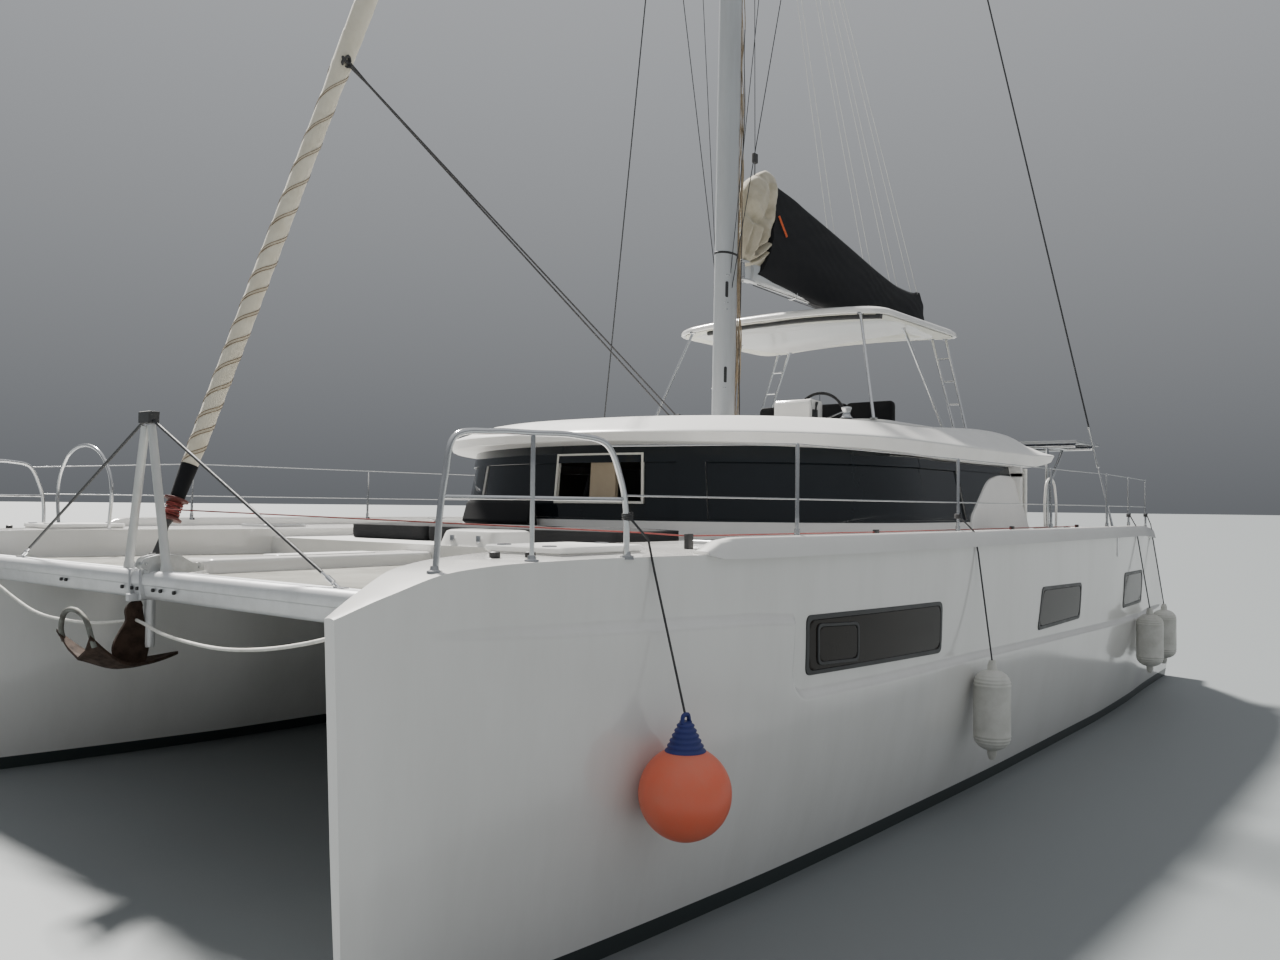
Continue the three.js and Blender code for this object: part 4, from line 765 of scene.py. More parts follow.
def woven(name, slot, color, dark, size=260.0, depth=0.35, rough=0.85, sheen=0.25):
    """Cloth: weathering in its colour, and two crossed sets of ribs as its weave."""
    look = weathered(name, slot, color, dark, rough, 6.0, 0.45, Sheen_Weight=sheen, Specular_IOR_Level=0.3)
    tree = look.node_tree
    at = node(tree, "TexCoord")
    ribs = [
        node(tree, "TexWave", [("Vector", at, "Object")], {"Scale": size, "Distortion": 0.6},
             bands_direction=way)
        for way in ("DIAGONAL", "Z")
    ]
    both = node(tree, "Math", [(0, ribs[0], "Fac"), (1, ribs[1], "Fac")], operation="MAXIMUM")
    bumped(tree, both, 0, depth, 0.0015)
    return look


def pads(name, bodies, look, fill=0.7, **facts):
    """Cushions as one object each; the first one stands for the solids."""
    nodes = facts.pop("stands_for", ())
    for k, body in enumerate(bodies):
        pad = piece(f"{name}_{k + 1}", body, look, stands_for=nodes, **facts)
        nodes = ()


grey_fabric = woven("grey_fabric", "cushion", (0.095, 0.10, 0.108), (0.05, 0.052, 0.058))
beige_fabric = woven("beige_fabric", "cushion", (0.50, 0.45, 0.38), (0.36, 0.32, 0.26))
dark_fabric = woven("dark_fabric", "cushion", (0.012, 0.0125, 0.014), (0.022, 0.023, 0.026), sheen=0.04)

# Saloon: teak furniture with beige upholstery, and a beige headliner and lining behind the glass.
teak = weathered("teak", "teak", (0.30, 0.20, 0.115), (0.16, 0.10, 0.055), 0.5, 9.0, 0.7, 0.3, 120,
                 stretch=(0.12, 1, 1))
piece("saloon_joinery", [
    block(-0.70, 1.10, 1.25, 1.90, 1.0503, 1.38, 0.03), block(-0.70, 1.10, 1.78, 1.90, 1.30, 1.78, 0.03),
    block(0.10, 0.50, 0.45, 1.30, 1.0503, 1.11, 0.02), block(0.22, 0.38, 0.56, 0.72, 1.10, 1.71, 0.03),
    block(-0.30, 0.90, 0.30, 1.05, 1.70, 1.74, 0.08), block(-2.2, 0.6, -2.20, -1.55, 1.0503, 1.92, 0.03),
], teak, stands_for=["saloon_furniture"])
pads("settee_cushion", [cushion(x, x + 0.88, 1.26, 1.76, 1.385, 0.095) for x in (-0.69, 0.21)], beige_fabric)
piece("saloon_liner", [
    band(-5.05, -2.4, strip(-0.040, 0.012, 2.25, 2.78)), block(-2.86, 1.05, -2.0, 2.0, 2.86, 2.878, 0.05),
    band(-2.3, -1.5, strip(-0.074, 0.03, 2.11, 2.87)),
], beige_fabric, slot="gelcoat")

# Coachroof: one wide fibreglass moulding with a rounded rim, open in the middle for the raised helm,
# on two posts aft.
roof_z = np.array([2.88, 2.883, 2.890, 2.94, 2.99, 3.030, 3.042, 3.052, 3.060, 3.085, 3.12, 3.16, 3.195,
                   3.215, 3.232, 3.243, 3.25])
roof_knots = [2.88, 2.89, 3.03, 3.045, 3.06, 3.19, 3.225, 3.25]
SHOULDER = [0.978, 0.986, 1.0, 0.998, 0.991, 0.890, 0.850, 0.74]
roof_share = np.interp(roof_z, roof_knots, SHOULDER)
roof_back = np.interp(roof_z, roof_knots, [0.055, 0.035, 0.0, 0.006, 0.03, 0.40, 0.60, 1.00])
roof_t = np.linspace(-2, 2, 161)[None, :]
b = roof_back[:, None]
roof_x, roof_y = nose_plan(roof_t, 2.5 - b, -4.3 + b / 3, 2.6 - b / 2, 2.75 * roof_share[:, None])
tail = np.clip((-3.1 - roof_x) / 1.2, 0, 1) ** 2 * 0.10 * np.clip((3.1 - roof_z[:, None]) / 0.2, 0, 1)
low_part = np.clip((3.04 - roof_z[:, None]) / 0.14, 0, 1)
tail = tail + 0.075 * np.clip(1.15 - np.abs(roof_t), 0, 1) ** 0.7 * low_part
swell_x = fair_line(roof_x, [-4.4, -4.02, -3.7, -3.0, -2.2, -1.15, 2.6],
                    [0, 0.01, 0.09, 0.115, 0.085, 0.03, 0.0])
swell = swell_x * np.clip((roof_z[:, None] - 3.06) / 0.16, 0, 1)
roof_rings = np.stack([roof_x, roof_y, roof_z[:, None] + tail + swell], -1)
well = rounded(oblong(-3.95, -1.35, -1.5, 1.5), 0.12)
roof_body = carved(loft(roof_rings), stack(well, [(0.02, 2.99), (0, 3.02), (0, 3.4)]))
POSTS = [upright(-4.15, y, (2.06, 2.90), 0.03, 16) for y in (2.42, -2.42)]
piece("coachroof_shell", [roof_body, *POSTS], deck_gelcoat, stands_for=["coachroof"])
VENT_LOW, VENT_HIGH = 3.115, 3.115 + 0.055
vent = rounded([(-2.45, VENT_LOW), (-2.55, VENT_HIGH), (-3.12, VENT_HIGH), (-3.04, VENT_LOW)], 0.02)


def on_roof_shoulder(rings):
    """Lays rings of (x, height over the skin, z) onto the port shoulder of the coachroof."""
    lain = rings.copy()
    lain[..., 1] += 2.75 * np.interp(rings[..., 2], roof_knots, SHOULDER)
    return lain


pair("roof_vent", stack(vent, [(0, -0.03), (0, 0.003), (0.003, 0.005)], axis=1, lie=on_roof_shoulder),
     black_trim)
steel = weathered("stainless", "steel", (0.64, 0.65, 0.66), (0.50, 0.49, 0.48), 0.14, 7.0, 0.35, Metallic=1.0)

# Raised helm: a moulded coaming round the well, a console with instruments and an engine lever,
# a black wheel with five steel spokes, and a bench with dark cushions.
coaming_outline = rounded(oblong(-4.07, -1.2, -1.75, 1.75), (0.12, 0.5, 0.5, 0.12), 8)
coaming_body = carved(
    stack(coaming_outline, [(0, 3.12), (0.0, 3.34), (0.012, 3.375), (0.04, 3.394), (0.07, 3.40)]),
    block(-5.0, -1.35, -1.5, 1.5, 3.0, 3.6),
)
piece("helm_coaming", coaming_body, gelcoat, stands_for=["flybridge_coaming"])
console = rounded([(-1.70, 2.9903), (-1.38, 2.9903), (-1.38, 3.64), (-1.42, 3.68), (-1.70, 3.665)],
                  (0.01, 0.02, 0.04, 0.03, 0.04))
piece("helm_console_shell", stack(
    console, [(0.012, 0.30), (0.003, 0.305), (0, 0.32), (0, 0.78), (0.003, 0.795), (0.012, 0.80)], axis=1
), gelcoat, stands_for=["helm_console"])
plastic = weathered("black_plastic", "dark_glass", (0.02, 0.02, 0.021), (0.05, 0.05, 0.05), 0.42, 14.0, 0.4,
                    0.25, 500)
screen_face = [block(-1.712, -1.700, 0.34, 0.56, 3.46, 3.60, 0.006),
               block(-1.708, -1.700, 0.60, 0.67, 3.55, 3.62, 0.02),
               block(-1.708, -1.700, 0.70, 0.77, 3.55, 3.62, 0.02)]
lever = bar([(-1.50, 0.815, 3.52), (-1.50, 0.822, 3.58), (-1.52, 0.822, 3.64)], [0.014, 0.010, 0.018])
piece("helm_instruments", [*screen_face, lever, block(-1.56, -1.44, 0.796, 0.815, 3.46, 3.55, 0.01)], plastic)

WHEEL = np.array([-1.79, 0.71, 3.43])
turn = angles(64)[:, None]
around = angles(12)[None, :]
reach = 0.35 + 0.018 * np.cos(around)
rim = np.stack([0.018 * np.sin(around) + 0 * turn, reach * np.sin(turn), reach * np.cos(turn)], -1)
rim_points = WHEEL + rim.reshape(-1, 3)
i, j = np.meshgrid(np.arange(64), np.arange(12), indexing="ij")
rim_faces = np.stack([i * 12 + j, (i + 1) % 64 * 12 + j, (i + 1) % 64 * 12 + (j + 1) % 12,
                      i * 12 + (j + 1) % 12], -1)
piece("wheel_rim", (rim_points, rim_faces.reshape(-1, 4)[:, ::-1].tolist()), plastic, rides="steering_wheel",
      slot="black_plastic", stands_for=["steering_wheel"])
centres = WHEEL + np.array([[0, 0, 0], [0.004, 0, 0]])
spokes = [bar(centres + np.outer([0.03, 0.345], [0, np.sin(a), np.cos(a)]), [0.010, 0.007], 8)
          for a in 2 * np.pi * np.arange(5) / 5]
hub = bar([WHEEL + (-0.025, 0, 0), WHEEL + (-0.018, 0, 0), WHEEL + (0.03, 0, 0), WHEEL + (0.0895, 0, 0)],
          [0.026, 0.040, 0.040, 0.030], 20)
piece("wheel_spokes", [*spokes, hub], steel, rides="steering_wheel")
piece("helm_bench", [
    block(-3.20, -2.70, -1.05, 1.05, 2.9903, 3.20, 0.05),
    block(-3.25, -3.17, -1.05, 1.05, 2.9903, 3.52, 0.03),
], gelcoat, stands_for=["flybridge_seat"])
pads("helm_cushion", [cushion(-3.16, -2.71, y, y + 0.68, 3.205, 0.095) for y in (-1.03, -0.34, 0.35)],
     dark_fabric)
pads("helm_backrest", [stack(
    rounded(oblong(a, a + 0.68, 3.36, 3.79), 0.07, 6, 0.1),
    [(0.03, -3.255), (0.008, -3.250), (0, -3.23), (-0.004, -3.19), (0, -3.16), (0.008, -3.145),
     (0.05, -3.132), (0.11, -3.126)], axis=0
) for a in (-1.03, -0.34, 0.35)], dark_fabric)

# Bimini: a moulded hard top with rounded corners, cream underneath, with an awning track under its
# forward edge, on a frame of bent stainless tube with two ladders.
cream_gelcoat = weathered("cream_gelcoat", "gelcoat", (0.74, 0.73, 0.64), (0.58, 0.57, 0.49), 0.4, 3.0, 0.35,
                          0.15, 60)
bimini_outline = rounded(oblong(-4.24, -1.76, -1.55, 1.57), (0.38, 0.32, 0.27, 0.38), 12, 0.2)


def superellipse(half_a, half_b, power=2.0, count=32):
    """Closed outline whose two half-breadths raised to a power add up to one."""
    turn = angles(count)
    c, s = np.cos(turn), np.sin(turn)
    shape = [np.sign(c) * np.abs(c) ** (2 / power) * half_a, np.sign(s) * np.abs(s) ** (2 / power) * half_b]
    return np.stack(shape, -1)


def cambered(rings):
    """Lifts rings of the hard top by a camber across the boat, full at the middle and none at its sides."""
    lain = rings.copy()
    lain[..., 2] += 0.075 * (1 - np.clip(np.abs(rings[..., 1]) / 1.55, 0, 1) ** 2.2)
    return lain


piece("bimini_top", stack(bimini_outline, [
    (0.045, 4.698), (0.03, 4.688), (0.012, 4.686), (0.0, 4.698), (0.0, 4.726), (0.014, 4.752), (0.06, 4.778),
    (0.16, 4.790), (0.40, 4.797), (0.75, 4.800), (1.05, 4.800),
], lie=cambered), gelcoat, stands_for=["bimini"])
piece("bimini_lining", stack(bimini_outline, [
    (0.2, 4.700), (0.06, 4.697), (0.042, 4.684), (0.045, 4.680), (0.10, 4.684), (0.3, 4.690), (0.5, 4.690),
    (0.75, 4.690), (1.05, 4.690),
], lie=cambered), cream_gelcoat)
track_y = np.linspace(-1.05, 1.49, 30)
track_z = 4.660 + 0.075 * (1 - (np.abs(track_y) / 1.55) ** 2.2)
track = np.stack([-1.90 + 0.02 * np.abs(track_y), track_y, track_z], -1)
piece("awning_track", sweep(track, superellipse(0.030, 0.030, 4.0, 16), flat=(0, 0, 1)), black_trim,
      slot="black_canvas")
POSTS_AT = [(-1.38, 1.64, -1.80, 1.25), (-3.25, 1.69, -2.99, 1.25), (-4.0, 1.70, -4.15, 1.34),
            (-4.0, 1.54, -4.15, 1.14)]
frame_bars = []
for side in (1, -1):
    for foot_x, foot, head_x, head in POSTS_AT:
        foot, head = side * foot, side * head
        top_z = 4.69 + 0.075 * (1 - (abs(head) / 1.55) ** 2.2)
        frame_bars.append(bar([(foot_x, foot, 3.395), (head_x, head, top_z)], 0.019, 12))
        flange = (top_z - 0.018, top_z - 0.008, top_z + 0.01)
        frame_bars.append(upright(head_x, head, flange, [0.03, 0.045, 0.045], 16))
        frame_bars.append(upright(foot_x, foot, (3.398, 3.406, 3.412), [0.045, 0.045, 0.025], 16))
    for share_up in (0.30, 0.55, 0.80):
        x, z = -4.0 - 0.15 * share_up, 3.40 + 1.28 * share_up
        rung = [(x, side * (1.70 - 0.36 * share_up), z), (x, side * (1.54 - 0.40 * share_up), z)]
        frame_bars.append(bar(rung, 0.012))
piece("bimini_tubes", frame_bars, steel, stands_for=["bimini_frame"])

# Cockpit: moulded benches with grey cushions, and a teak table.
piece("cockpit_benches", [
    block(-4.95, -3.50, 1.45, 2.20, 1.0503, 1.385, 0.06),
    block(-4.95, -4.30, -1.0, 1.55, 1.0503, 1.385, 0.06),
    block(-4.40, -3.60, 0.45, 1.46, 1.0503, 1.11, 0.04),
], gelcoat, stands_for=["cockpit_furniture"])
pads("cockpit_cushion", [
    cushion(-4.27, -3.52, 1.47, 2.18, 1.388, 0.088), cushion(-4.93, -4.31, 1.25, 2.18, 1.388, 0.088),
    cushion(-4.93, -4.31, 0.14, 1.23, 1.388, 0.088), cushion(-4.93, -4.31, -0.98, 0.12, 1.388, 0.088),
], grey_fabric)
piece("cockpit_table", [
    block(-4.20, -3.45, 0.15, 1.15, 1.70, 1.74, 0.08),
    upright(-3.8, 0.6, (1.10, 1.14, 1.70), [0.10, 0.045, 0.045], 20),
], teak)

# Foredeck: three sun pads side by side, a backrest aft of them, and a raised white locker lid with
# two catches. The bridge deck itself keeps its CAD shape.
pads("sun_pad", [cushion(2.43, 3.29, y, y + 1.15, 2.0203, 0.15, 0.02, 0.07) for y in (-1.745, -0.575, 0.595)],
     dark_fabric, stands_for=["foredeck_sunpad"])
REST_SIDE = [(2.245, 2.10), (2.42, 2.19), (2.345, 2.405), (2.275, 2.42)]
lounge_rest = stack(
    rounded(REST_SIDE, (0.03, 0.03, 0.04, 0.03), 6, 0.04),
    [(0.03, -1.09), (0.008, -1.085), (0, -1.06), (-0.004, -0.62), (0, -0.18), (0.008, -0.155), (0.03, -0.15)],
    axis=1,
)
pads("lounge_backrest", [lounge_rest], dark_fabric)
lid_plan = rounded(oblong(3.38, 3.80, 0.20, 0.91), (0.05, 0.16, 0.10, 0.05), 6)
lid_levels = [(-0.035, 2.015), (0, 2.115), (0.012, 2.14), (0.04, 2.152), (0.1, 2.156)]
piece("foredeck_lid", stack(lid_plan, lid_levels), gelcoat)
piece("lid_catches", [block(3.812, 3.828, y, y + 0.05, 2.05, 2.11, 0.006) for y in (0.38, 0.70)], steel)
bridge_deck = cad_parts["bridgedeck"]
bridge_deck.data.materials.clear()
bridge_deck.data.materials.append(deck_gelcoat)


# Forward crossbeam: an anodised aluminium extrusion between the bows, flattened on its faces, with
# bolted brackets for the bow roller, the anchor post and the forestay.
BEAM_X, BEAM_Z = 6.15, 1.80
beam_path = [(BEAM_X, y, BEAM_Z) for y in (-3.05, -1.5, 0, 1.5, 3.05)]
half_section = np.array([
    (0.097, 0.0), (0.097, 0.030), (0.092, 0.034), (0.092, 0.040), (0.096, 0.046), (0.092, 0.068),
    (0.080, 0.086), (0.060, 0.094), (0.010, 0.096), (0.004, 0.093), (-0.002, 0.086), (-0.010, 0.084),
    (-0.070, 0.070), (-0.088, 0.058), (-0.096, 0.040), (-0.097, 0.0),
])
beam_finish = weathered("beam_finish", "mast_aluminium", (0.70, 0.71, 0.72), (0.50, 0.50, 0.49), 0.36, 5.0,
                        0.4, 0.15, 120, stretch=(0.4, 1, 1), Metallic=0.35)
beam_section = np.concatenate([half_section, (half_section * (1, -1))[::-1][1:-1]])
piece("crossbeam_extrusion", [
    sweep(beam_path, beam_section, flat=(0, 0, 1)),
    upright(6.145, 0, (1.72, 1.40, 1.375, 1.37), [0.038, 0.038, 0.036, 0.030], 20),
    block(6.09, 6.19, -0.035, 0.035, 1.88, 1.95, 0.012),
    block(6.155, 6.30, -0.022, 0.022, 1.6903, 1.74, 0.008),
], beam_finish, stands_for=["forward_crossbeam"])
cheek = rounded([(5.84, 1.885), (6.02, 1.872), (6.22, 1.885), (6.29, 1.930), (6.26, 1.985), (6.17, 2.005),
                 (6.02, 2.0), (5.93, 1.945), (5.85, 1.935)], 0.018)
cast = weathered("cast_aluminium", "mast_aluminium", (0.55, 0.56, 0.56), (0.35, 0.35, 0.34), 0.42, 14, 0.5,
                 0.3, 260, Metallic=0.6)
piece("bow_roller", [
    *[stack(cheek, [(0.002, y), (0, y + 0.002), (0, y + 0.013), (0.002, y + 0.015)], axis=1)
      for y in (0.060, 0.145)],
    block(6.06, 6.24, 0.055, 0.165, 1.885, 1.905, 0.005),
    *[bar([(x, 0.050, z), (x, 0.056, z), (x, 0.164, z), (x, 0.170, z)], [0.008, 0.012, 0.012, 0.008], 12)
      for x, z in ((5.88, 1.912), (6.25, 1.945), (6.12, 1.96))],
], cast)
piece("roller_wheel", bar([(5.88, y, 1.912) for y in (0.078, 0.085, 0.100, 0.110, 0.120, 0.135, 0.142)],
                          [0.030, 0.032, 0.024, 0.020, 0.024, 0.032, 0.030], 24), plastic)
bolts = [bar([(x, y, 1.775) for x in (6.235, 6.249, 6.252)], [0.014, 0.014, 0.010], 6)
         for y in (-0.20, -0.06, 0.02, 0.24, 0.34, 0.52, -1.10, -1.18)]
clamp = [block(6.04, 6.255, y - 0.014, y + 0.014, 1.700, 1.905, 0.01) for y in (-0.075, 0.075)]
piece("beam_bolts", bolts, plastic)
piece("beam_clamps", clamp, aluminium)

# Longeron and striker: a moulded walkway from the bridge deck to the beam, with a raised top and a
# nonskid lid over the chain, and an A-frame of painted tubes whose flat head spreads two black rods.
walk_ends = rounded(oblong(3.8503, 5.82, -0.18, 0.18), (0.004, 0.05, 0.05, 0.004), 6)
spine_ends = rounded(oblong(3.8503, 6.0547, -0.165, 0.165), 0.004)
piece("longeron_walkway", [
    stack(walk_ends, [(0.012, 1.764), (0.003, 1.768), (0, 1.782), (0, 1.930), (0.004, 1.946), (0.014, 1.958),
                      (0.03, 1.963)]),
    stack(spine_ends, [(0.004, 1.770), (0, 1.774), (0, 1.862), (0.004, 1.866)]),
], gelcoat, stands_for=["longeron"])
chain_lid = rounded(oblong(4.35, 5.25, -0.105, 0.105), 0.03, 5)
piece("chain_lid", stack(chain_lid, [(0, 1.960), (0, 1.969), (0.003, 1.972), (0.010, 1.973)]), deck_gelcoat)
catches = [upright(x, -0.07, (1.970, 1.975, 1.977), [0.016, 0.016, 0.010], 14) for x in (4.5, 5.1)]
piece("chain_lid_catches", catches, steel)
grey_paint = weathered("grey_paint", "mast_aluminium", (0.60, 0.61, 0.60), (0.40, 0.40, 0.38), 0.34, 6.0,
                       0.45, stretch=(1, 1, 0.3), Metallic=0.3)
legs = [bar([(6.15, y, 1.897), (6.152, y, 1.92), (6.156, y * 0.985, 1.95), (6.178, y * 0.16, 2.88)],
            [0.042, 0.040, 0.030, 0.028], 20)
        for y in (0.24, -0.29)]
piece("striker_legs", legs, grey_paint, stands_for=["striker"])
head = rounded([(-0.078, 2.895), (0.072, 2.895), (0.072, 2.945), (0.078, 2.975), (-0.078, 2.975),
                (-0.078, 2.945)], 0.008, 3)
wire_black = weathered("black_wire", "steel", (0.03, 0.031, 0.033), (0.07, 0.07, 0.07), 0.5, 20.0, 0.4,
                       0.3, 800)
piece("striker_head", stack(head, [(0.003, 6.140), (0, 6.145), (0, 6.210), (0.003, 6.215)], axis=0),
      wire_black, slot="mast_aluminium")
rods, ends = [], []
for side in (1, -1):
    low, high = np.array([6.15, side * 2.17, 1.90]), np.array([6.18, side * 0.05, 2.92])
    rods.append(bar([low + (high - low) * s for s in (0.075, 0.5, 1.0)], 0.0105, 12))
    ends.append(bar([low + (high - low) * s for s in (0.0, 0.02, 0.022, 0.05, 0.052, 0.078)],
                    [0.010, 0.010, 0.016, 0.016, 0.008, 0.008], 12))
    ends.append(block(6.13, 6.17, side * 2.19 - 0.05, side * 2.19 + 0.05, 1.885, 1.905, 0.008))
piece("striker_rods", rods, wire_black)
piece("striker_ends", ends, steel)

# Trampolines: knotless cream netting with a webbing border, laced tight with thin cord all round.
NET_PLAN = [(3.852, 0.195), (6.035, 0.195), (6.035, 2.82), (5.45, 2.62), (4.70, 2.40), (3.91, 2.22),
            (3.852, 2.18)]
netting = weathered("netting", "net", (0.27, 0.265, 0.235), (0.17, 0.165, 0.14), 0.8, 3.0, 0.5)
tree = netting.node_tree
at = node(tree, "TexCoord")
mesh_waves = [node(tree, "TexWave", [("Vector", at, "Object")], {"Scale": 22.0}, bands_direction=way)
              for way in ("X", "Y")]
strands = node(tree, "Math", [(0, mesh_waves[0], "Fac"), (1, mesh_waves[1], "Fac")], operation="MAXIMUM")
open_mesh = node(tree, "MapRange", [("Value", strands, 0)], {"From Min": 0.25, "From Max": 0.45})
tree.links.new(open_mesh.outputs["Result"], tree.nodes["Principled BSDF"].inputs["Alpha"])
for net in pair("net_panel", stack(NET_PLAN, [(0, 1.853), (0, 1.861)]), netting,
                stands_for=["trampoline"]):
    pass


def lacing(start, end, gap, pitch=0.11):
    """Thin cord that runs to and fro between an edge and the fixing beside it: even points lie on the
    line, odd points stand off by the gap."""
    start, end = np.asarray(start, float), np.asarray(end, float)
    count = int(np.linalg.norm(end - start) / pitch) * 2 + 1
    away = np.asarray(gap, float)[None] * (np.arange(count) % 2)[:, None]
    return bar(start + (end - start) * np.linspace(0, 1, count)[:, None] + away, 0.0035, 6)


border = [bar([(x0, y0, 1.857), (x1, y1, 1.857)], 0.011, 8)
          for (x0, y0), (x1, y1) in zip(NET_PLAN, NET_PLAN[1:] + NET_PLAN[:1])]
cords = [lacing((6.03, 0.22, 1.860), (6.03, 2.78, 1.860), (0.055, 0, 0)),
         lacing((3.90, 0.195, 1.858), (6.0, 0.195, 1.858), (0, -0.018, 0)),
         lacing((3.93, 2.23, 1.862), (4.70, 2.40, 1.862), (0.01, 0.065, 0)),
         lacing((4.70, 2.40, 1.862), (5.45, 2.62, 1.862), (0, 0.10, 0)),
         lacing((5.45, 2.62, 1.862), (6.03, 2.82, 1.862), (0, 0.09, 0))]
pair("net_border", [*border, *cords], white_rope, slot="net")

# Anchor: a galvanised plough with a roll bar, rusted brown, hung by its shank under the beam.
rust = weathered("rusted_iron", "anchor_iron", (0.062, 0.036, 0.024), (0.022, 0.016, 0.013), 0.75, 16.0, 0.9,
                 0.6, 90, Metallic=0.35)
galvanised = weathered("galvanised", "anchor_iron", (0.20, 0.21, 0.19), (0.07, 0.055, 0.045), 0.6, 12.0, 0.8,
                       0.4, 140, Metallic=0.5)
share_along = np.linspace(0, 1, 18)
keel_x = np.interp(share_along, [0, 0.55, 1], [5.94, 6.33, 6.605])
keel_z = fair_line(share_along, [0, 0.55, 1], [1.302, 1.242, 1.330])
wide = 0.004 + 0.246 * share_along**0.8
edge_z = keel_z + 0.35 * wide * share_along + 0.08 * share_along**3 * (wide / 0.25)
edge_x = keel_x + 0.035 * share_along**2
across = np.array([-1, -0.5, 0, 0.5, 1, 1, 0.5, 0, -0.5, -1])
over = np.array([0, 0, 0, 0, 0, 1, 1, 1, 1, 1]) * 0.020
blend_y = np.abs(across)[None, :] ** 1.6
fluke = np.stack([
    keel_x[:, None] + (edge_x - keel_x)[:, None] * blend_y, wide[:, None] * across[None, :],
    keel_z[:, None] + (edge_z - keel_z)[:, None] * blend_y + over[None, :],
], -1)
shank = rounded([(6.17, 1.262), (6.37, 1.262), (6.395, 1.40), (6.33, 1.52), (6.30, 1.56), (6.315, 1.64),
                 (6.27, 1.688), (6.205, 1.688), (6.185, 1.56), (6.14, 1.40)],
                (0.01, 0.02, 0.05, 0.04, 0.03, 0.03, 0.02, 0.02, 0.04, 0.05))
piece("anchor_plough", [
    loft(fluke), stack(shank, [(0.004, -0.016), (0, -0.012), (0, 0.012), (0.004, 0.016)], axis=1),
    bar(fair_path([(6.21, 0.03, 1.655), (6.21, 0, 1.685), (6.21, -0.03, 1.655), (6.24, -0.03, 1.62),
                   (6.24, 0.03, 1.62)], 0.01), 0.006, 8),
], rust, stands_for=["anchor"])
half_hoop = [(6.600, 0.225, 1.435), (6.620, 0.222, 1.50), (6.632, 0.175, 1.60), (6.640, 0.09, 1.648)]
hoop = [(x, -y, z) for x, y, z in half_hoop] + [(6.640, 0, 1.660)] + half_hoop[::-1]
piece("anchor_hoop", bar(fair_path(hoop, 0.02), 0.017, 14), galvanised)

# Mast: a tall oval extrusion in light grey, with a sail track and halyards on its aft side, exit slots,
# swept spreaders and the rod diamonds that keep it straight.
mast_paint = weathered("mast_paint", "mast_aluminium", (0.50, 0.52, 0.535), (0.33, 0.33, 0.33), 0.32, 5.0,
                       0.4, stretch=(1, 1, 0.12), Metallic=0.35)


def mast_x(z):
    """Middle of the raked mast at a height."""
    return -0.72 - 0.017 * (np.asarray(z, float) - 3.45)


mast_z = np.concatenate([[3.282, 3.30], np.linspace(3.5, 22.0, 60), [22.3, 22.38, 22.40]])
slim = np.interp(mast_z, [3.0, 21.0, 22.3, 22.38, 22.40], [1, 1, 0.97, 0.94, 0.88])
oval = superellipse(0.170, 0.110, 2.25, 44)
mast_rings = np.stack([mast_x(mast_z)[:, None] + slim[:, None] * oval[:, 0], slim[:, None] * oval[:, 1],
                       np.broadcast_to(mast_z[:, None], (len(mast_z), 44))], -1)
spreader_arms, rods = [], []
for z, half in ((10.8, 1.13), (15.9, 0.95)):
    for side in (1, -1):
        path = [(mast_x(z), 0, z), (mast_x(z) - 0.045, side * half / 2, z + 0.03),
                (mast_x(z) - 0.09, side * half, z + 0.06)]
        size = np.array([1.15, 1.0, 0.75])[:, None, None]
        spreader_arms.append(sweep(path, size * superellipse(0.018, 0.045, 2.0, 20), flat=(0, 0, 1)))
for side in (1, -1):
    tips = [(mast_x(5.0) + 0.02, side * 0.107, 4.98), (mast_x(10.8) - 0.09, side * 1.12, 10.86),
            (mast_x(15.9) - 0.09, side * 0.94, 15.96), (mast_x(20.9), side * 0.13, 20.92)]
    rods += [bar([a, b], 0.0055, 8) for a, b in zip(tips, tips[1:])]
    inner = [(mast_x(5.2) + 0.05, side * 0.104, 5.15), (mast_x(10.8) - 0.05, side * 0.62, 10.84)]
    rods.append(bar(inner, 0.0045, 8))
piece("mast_tube", [
    loft(mast_rings), *spreader_arms,
    stack(rounded(oblong(-0.98, -0.46, -0.19, 0.19), 0.08),
          [(0, 3.2503), (0, 3.275), (0.01, 3.288), (0.03, 3.29)]),
    block(-1.077, -0.787, -0.14, 0.14, 20.90, 20.96, 0.03),
    block(-1.14, -0.90, -0.022, 0.022, 5.20, 5.36, 0.008),
], mast_paint, stands_for=["mast"])
PIN_HEIGHTS = (5.135, 5.1795, 5.1803, 5.3797, 5.3803, 5.425)
piece("gooseneck_pin", upright(-1.12, 0, PIN_HEIGHTS, [0.012, 0.012, 0.03, 0.03, 0.012, 0.012], 20), steel)
piece("diamond_rods", rods, wire_black)
track_z = np.linspace(5.65, 21.4, 40)
track_path = np.stack([mast_x(track_z) - 0.174, 0 * track_z, track_z], -1)
piece("sail_track", sweep(track_path, superellipse(0.014, 0.009, 5.0, 16), flat=(0, 1, 0)), aluminium)


def on_mast(rings):
    """Lays rings of (distance forward of the mast's middle, height over its skin, z) on the port side."""
    lain = rings.copy()
    reach_out = np.clip(1 - np.abs(rings[..., 0] / 0.170) ** 2.25, 0, 1) ** (1 / 2.25)
    lain[..., 1] += 0.110 * reach_out
    lain[..., 0] += mast_x(rings[..., 2])
    return lain


